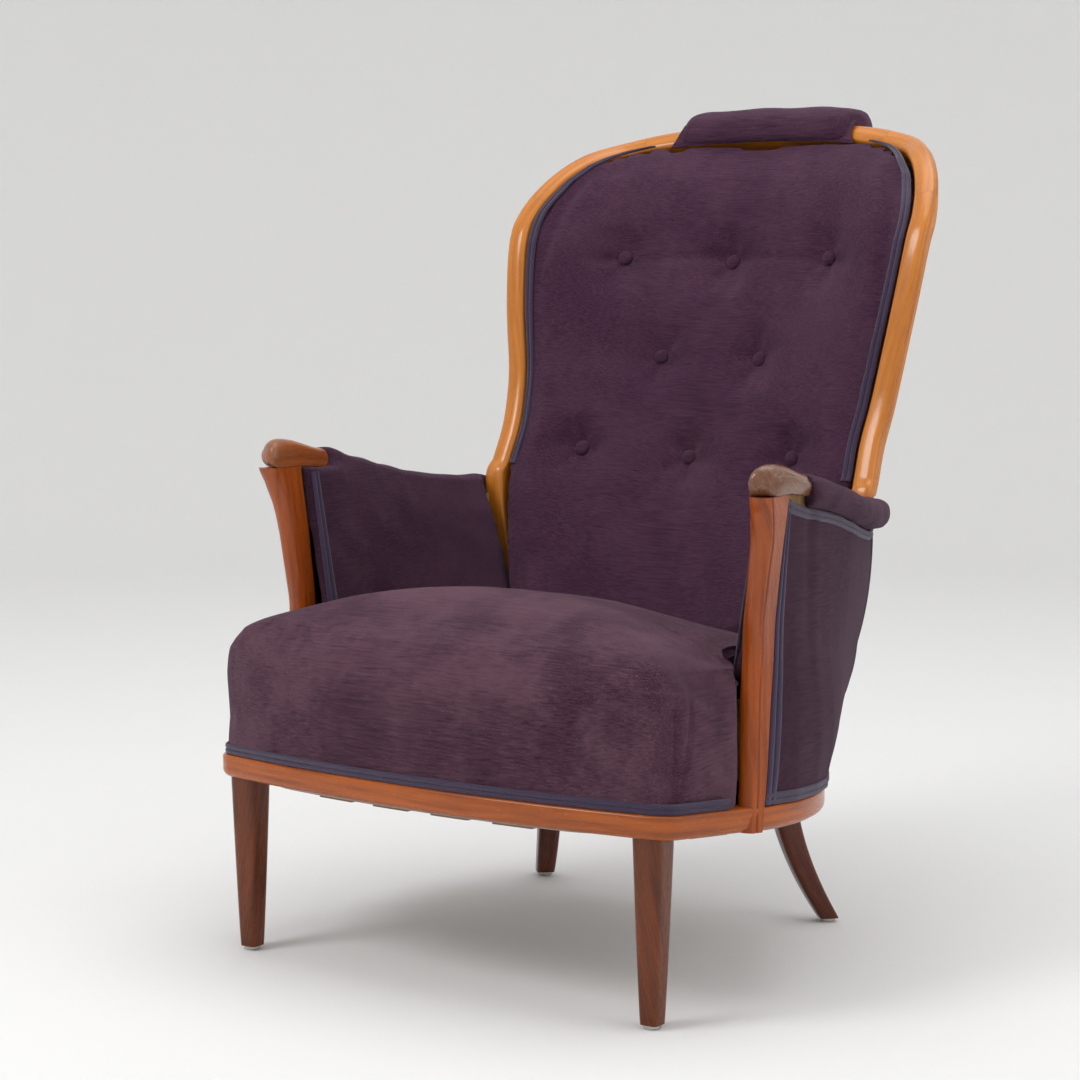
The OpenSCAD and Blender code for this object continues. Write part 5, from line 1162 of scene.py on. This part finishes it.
def seat_form():
    """Outline rings drawn towards the middle by the inset and raised by the two shares. Below, they
    turn in over the tack frame and rise to just over the hessian."""
    def at_level(ins, g, k, up):
        look_z = lerp(RAIL_Z + 20, RAIL_Z + RAIL_H + BORDER_H, min(k + 0.1 * (up > 0), 1.1))
        o = whole_outline(look_z)
        xy = o[:, :2]
        away = xy - SEAT_MIDDLE
        far = np.linalg.norm(away, axis=1, keepdims=True)
        share = o[:, 3:] if up < 0.3 and ins < 36 else np.maximum(o[:, 3:], 0.7)
        xy = SEAT_MIDDLE + away * (1 - ins * share / far) * g
        low = lerp(NOTCH_Z - fall(o[:, 1]), under(o[:, 1]) + RAIL_H + 0.3, o[:, 2])
        edge = lerp(NOTCH_Z - fall(o[:, 1]) + EDGE_ROUND, under(o[:, 1]) + RAIL_H + BORDER_H, o[:, 2])
        height = low + (edge - low) * k + (SEAT_CROWN_Z - fall(xy[:, 1]) - edge) * up
        return xy, height, low, o

    rings = []
    steps = np.concatenate([np.linspace(-4, 0, 26), np.linspace(0.1, 7, 46)])
    for t in steps:
        ins, g, k, up = (float(look(SEAT_LEVELS, t, c)) for c in (1, 2, 3, 4))
        xy, z, _, _ = at_level(ins, g, min(k, 1), max(up, 0))
        rings.append(np.column_stack([xy, z]))
    below = []
    for ins, lift, hess in ((15, 0, 0), (15.6, 22.8, 0), (26, 27, 0.2), (44, 30, 0.7), (62, 0, 1)):
        xy, _, low, o = at_level(0, 1, 0, 0)
        away = xy - SEAT_MIDDLE
        xy = SEAT_MIDDLE + away * (1 - ins / np.linalg.norm(away, axis=1, keepdims=True))
        z = lerp(low + lift * o[:, 2] + 0.8, over_hessian(xy[:, 1]), hess)
        below.append(np.column_stack([xy, z]))
    for g in (0.7, 0.4, 0.05):
        xy = SEAT_MIDDLE + (below[4][:, :2] - SEAT_MIDDLE) * g
        below.append(np.column_stack([xy, over_hessian(xy[:, 1])]))
    return metres(np.stack(below[::-1] + rings))


def corner_folds(at):
    """Two folds down each front corner: lines on the border, which meet at the rail."""
    x, y, z = np.abs(at[:, 0]) * 1000, at[:, 1] * 1000 + RAIL_FRONT_TO_ORIGIN, at[:, 2] * 1000
    along = (x - corner_end[0]) * math.sin(toe) + (y - corner_end[1]) * math.cos(toe)
    up = np.clip((z - 236) / 128, 0, 1.2)
    side = np.clip((x - 250) / 20, 0, 1) * np.clip((140 - y) / 20, 0, 1)
    first = ditch(along - lerp(-6, -5, up), 2.6, 0.004)
    second = ditch(along - lerp(-3, 22, up), 2.6, 0.003)
    return (first + second) * side * np.clip((1.02 - up) / 0.2, 0, 1) * np.clip(up * 10, 0, 1)


def seat_folds(at, normal):
    """Slight waves over the top and down the front, where the stuffing has settled, and the folds
    of the corners."""
    x, y = at[:, 0] * 1000, at[:, 1] * 1000 + RAIL_FRONT_TO_ORIGIN
    waves = 0.0011 * np.sin(x * 0.031 + 1.3 * np.sin(y * 0.023)) * np.sin(y * 0.019 + 1)
    waves = waves * np.clip(normal[:, 2], 0, 1)
    return waves + 0.0005 * np.clip(-normal[:, 1] * 1.4, 0, 1) * np.sin(x * 0.045 + 0.8) + corner_folds(at)


def back_folds(at, normal):
    """Puckers in a ring about 24 mm out from each button; a drag line joins the top row's buttons."""
    front = np.clip(-normal[:, 1] * 2, 0, 1)
    dx, dz = at[:, :1] - BUTTON_X, at[:, 2:] - BUTTON_Z
    r, a = np.hypot(dx, dz), np.arctan2(dz, dx)
    star = (0.0011 * np.cos(5 * a + np.arange(8) * 1.7) * np.exp(-((r - 0.024) / 0.016)**2)).sum(1)
    row = ditch(at[:, 2] - BUTTON_Z[0] - 0.004 * np.cos(at[:, 0] * 12), 0.007, 0.002) \
        * np.clip((0.2 - np.abs(at[:, 0])) / 0.05, 0, 1)
    return front * (star + row)


def faint_folds(at, normal):
    return 0.0008 * np.sin(at[:, 1] * 95 + 3 * np.sin(at[:, 2] * 40)) * np.sin(at[:, 0] * 70)


BUTTON_X, BUTTON_Z = SHOULDER_X * BUTTONS[:, 0] / 1000, back_z(BUTTONS[:, 1]) / 1000


def seat_free(at, normal):
    """Only the outer skin moves, and it stays on the rail and beside the posts."""
    out = at - metres([0, 226, 300])
    post = np.append(metres([*post_stand, 0])[:2], 0)
    near = np.minimum(*(np.linalg.norm((at - p)[:, :2], axis=1) for p in (post, mirrored(post))))
    return np.clip((unit(out) * normal).sum(1) * 2, 0, 1) * np.clip(normal[:, 2] * 2 + 1.2, 0, 1) \
        * np.clip((at[:, 2] - 0.25) / 0.03, 0, 1) * np.clip((near - 0.02) / 0.03, 0, 1)


def back_free(at, normal):
    """Only the front moves, away from the frame."""
    half = SHOULDER_X / 1000 * look(EDGE, back_share(at[:, 2] * 1000), 1)
    return np.clip(-normal[:, 1] * 1.5, 0, 1) * np.clip((half - 0.008 - np.abs(at[:, 0])) / 0.03, 0, 1) \
        * np.clip((0.955 - at[:, 2]) / 0.03, 0, 1) * (1 - np.exp(-(to_buttons(at) / 0.03)**2))


def to_buttons(at):
    """Distance from the nearest button, seen from the front."""
    return np.hypot(at[:, :1] - BUTTON_X, at[:, 2:] - BUTTON_Z).min(1)


ROLL_WIDER = 1.08


def roll_free(at, normal):
    """All but the underside moves."""
    return np.clip(normal[:, 2] * 2 + 0.8, 0, 1)


def arm_free(at, normal):
    """The top and the sitter's side move, away from the post and the knuckle."""
    start = (arm_start - RAIL_FRONT_TO_ORIGIN) / 1000
    facing = np.clip(normal[:, 2] - np.sign(at[:, 0]) * normal[:, 0], 0, 1)
    return facing * np.clip((at[:, 1] - start - 0.07) / 0.04, 0, 1)


for node, name, material, thinner, most, free, fold in (
        ("seat_cushion", "seat_stuffing_and_cloth", seat_cloth_faded_and_painted_light, 0.001, 0.003, seat_free, seat_folds),
        ("back_cushion", "back_stuffing_and_cloth", back_cloth, 0.003, 0.006, back_free, back_folds),
        ("head_roll_pad", "head_roll", back_cloth, 0.0015, 0.004, roll_free, faint_folds),
        ("arm_pad_left", "arm_roll_left", arm_cloth_painted_shade, 0.001, 0.003, arm_free, faint_folds),
        ("arm_pad_right", "arm_roll_right", arm_cloth_painted_shade, 0.001, 0.003, arm_free, faint_folds)):
    if node == "seat_cushion":
        form = tube("seat_start", seat_form(), 60)
        pad = stuffed(name, form.data, thinner, None, most, free, fold)
        bpy.data.objects.remove(form)
    else:
        voxel = 0.006 if node == "back_cushion" else 0.005
        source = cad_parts[node].data.copy()
        if node == "head_roll_pad":
            source.transform(Matrix.Scale(ROLL_WIDER, 4, (1, 0, 0)))
        pad = stuffed(name, source, thinner, voxel, most, free, fold)
    dress(pad, material, "cloth", node)


# ---------------------------------------------------------------- cloth over the top rail, buttons

def roll_apron_form():
    """The head roll's cloth taken over the top rail: rows across the rail's line from behind its
    crest to the cushion's edge, off the wood along its face, let down to the cushion by a smooth step."""
    i = np.linspace(14.02, 2 * FRAME_END - 14.02, 90)
    wide, face = frame_axes(i)
    rows = []
    for w in np.linspace(0, 1, 26):
        off = lerp(17, -24, w) + 0 * i
        spread = 1 + 0.1 * w**2
        high = 2.6 + 2.2 * np.sin(math.pi * min(w * 1.3, 1))
        p = frame_place(i) + off[:, None] * UP_RAIL * wide + high * face
        p[:, 0] *= spread
        v = back_share(p[:, 2])
        v = np.minimum(v, 0.959)
        q = back_front(np.clip(p[:, 0] / half_width(v), -1, 1), v)
        t = eased(np.clip((w - 0.72) / 0.28, 0, 1))
        p[:, 1] = lerp(p[:, 1], q[:, 1] - 1.2, t)
        rows.append(p)
    outer = np.stack(rows)
    away = np.cross(np.gradient(outer, axis=0), np.gradient(outer, axis=1))
    away = unit(away) * -np.sign(away[..., 1:2])
    return outer, outer - 1.6 * away


UP_RAIL = float(np.sign(frame_axes(np.array([FRAME_END + 0.0]))[0][0, 2]))
apron = cloth_between("head_roll_apron", *(metres(g) for g in roll_apron_form()))
dress(apron, back_cloth, "cloth")

for k, b in enumerate(BUTTONS):
    dress(tube("button_%d" % (k + 1), button_form(b), 60), back_cloth, "cloth", "back_buttons")

# ---------------------------------------------------------------- floor, lights and camera

low_z = float(cad_box[0][2])
DISC_R, BEND, WALL_TOP = 3.8, 2, 7


def studio_floor(name, tone):
    """A flat disc that turns up into a wall. The profile, with a quarter circle between the two, is
    turned about Z."""
    bend = [[DISC_R + BEND * math.sin(k), BEND - BEND * math.cos(k)] for k in np.linspace(0, math.pi / 2, 24)]
    profile = np.array([[0.001, 0], *bend, [DISC_R + BEND, WALL_TOP]])
    a = np.linspace(0, 2 * np.pi, 97)[:-1]
    out, up = profile[:, :1], profile[:, 1:]
    rings = np.stack([out * np.cos(a), out * np.sin(a), low_z + up + 0 * a], -1)
    m, n = rings.shape[:2]
    faces = [(i * n + j, i * n + (j + 1) % n, (i + 1) * n + (j + 1) % n, (i + 1) * n + j)
             for i in range(m - 1) for j in range(n)]
    mesh = bpy.data.meshes.new(name)
    mesh.from_pydata(rings.reshape(-1, 3).tolist(), [], faces)
    mesh.flip_normals()
    mesh.shade_smooth()
    plate = bpy.data.objects.new(name, mesh)
    bpy.context.scene.collection.objects.link(plate)
    material, tree, shader = new_material(name)
    shader.inputs["Base Color"].default_value = paint(tone, tone, tone)
    shader.inputs["Roughness"].default_value = 0.9
    shader.inputs["Specular IOR Level"].default_value = 0.1
    mesh.materials.append(material)


studio_floor("floor", 240)


def lamp(name, place, aim, size, watts, color=(1, 1, 1)):
    light = bpy.data.lights.new(name, "AREA")
    light.shape, light.size, light.energy, light.color = "DISK", size, watts, color
    lamp_object = bpy.data.objects.new(name, light)
    bpy.context.scene.collection.objects.link(lamp_object)
    back = unit(np.array(place, float) - np.array(aim, float))
    right = unit(np.cross([0, 0, 1], back))
    lamp_object.matrix_world = Matrix([[*row, p] for row, p in zip(
        np.stack([right, np.cross(back, right), back], 1).tolist(), place)] + [[0, 0, 0, 1]])


lamp("key", (-1.2, -2.6, 3.0), (0, 0, 0.5), 1.4, 40)
lamp("fill", (2.8, 0.2, 1.9), (0, 0, 0.5), 2.2, 14)
lamp("top", (0.2, 0.3, 3.6), (0, 0, 0.4), 2.8, 34)

world = bpy.data.worlds.new("studio")
bpy.context.scene.world = world
world.use_nodes = True
world.node_tree.nodes["Background"].inputs[0].default_value = paint(226, 225, 224)
world.node_tree.nodes["Background"].inputs[1].default_value = 1.05

camera_data = bpy.data.cameras.new("camera")
camera_data.lens, camera_data.sensor_width = 87.31, 36
camera = bpy.data.objects.new("camera", camera_data)
bpy.context.scene.collection.objects.link(camera)
camera.matrix_world = Matrix(((0.819, -0.0616, 0.57041, 1.75549), (0.574, 0.0879, -0.81432, -2.68036),
                              (0, 0.9942, 0.10732, 0.82195), (0, 0, 0, 1)))
bpy.context.scene.camera = camera
bpy.context.scene.view_settings.view_transform = "Standard"
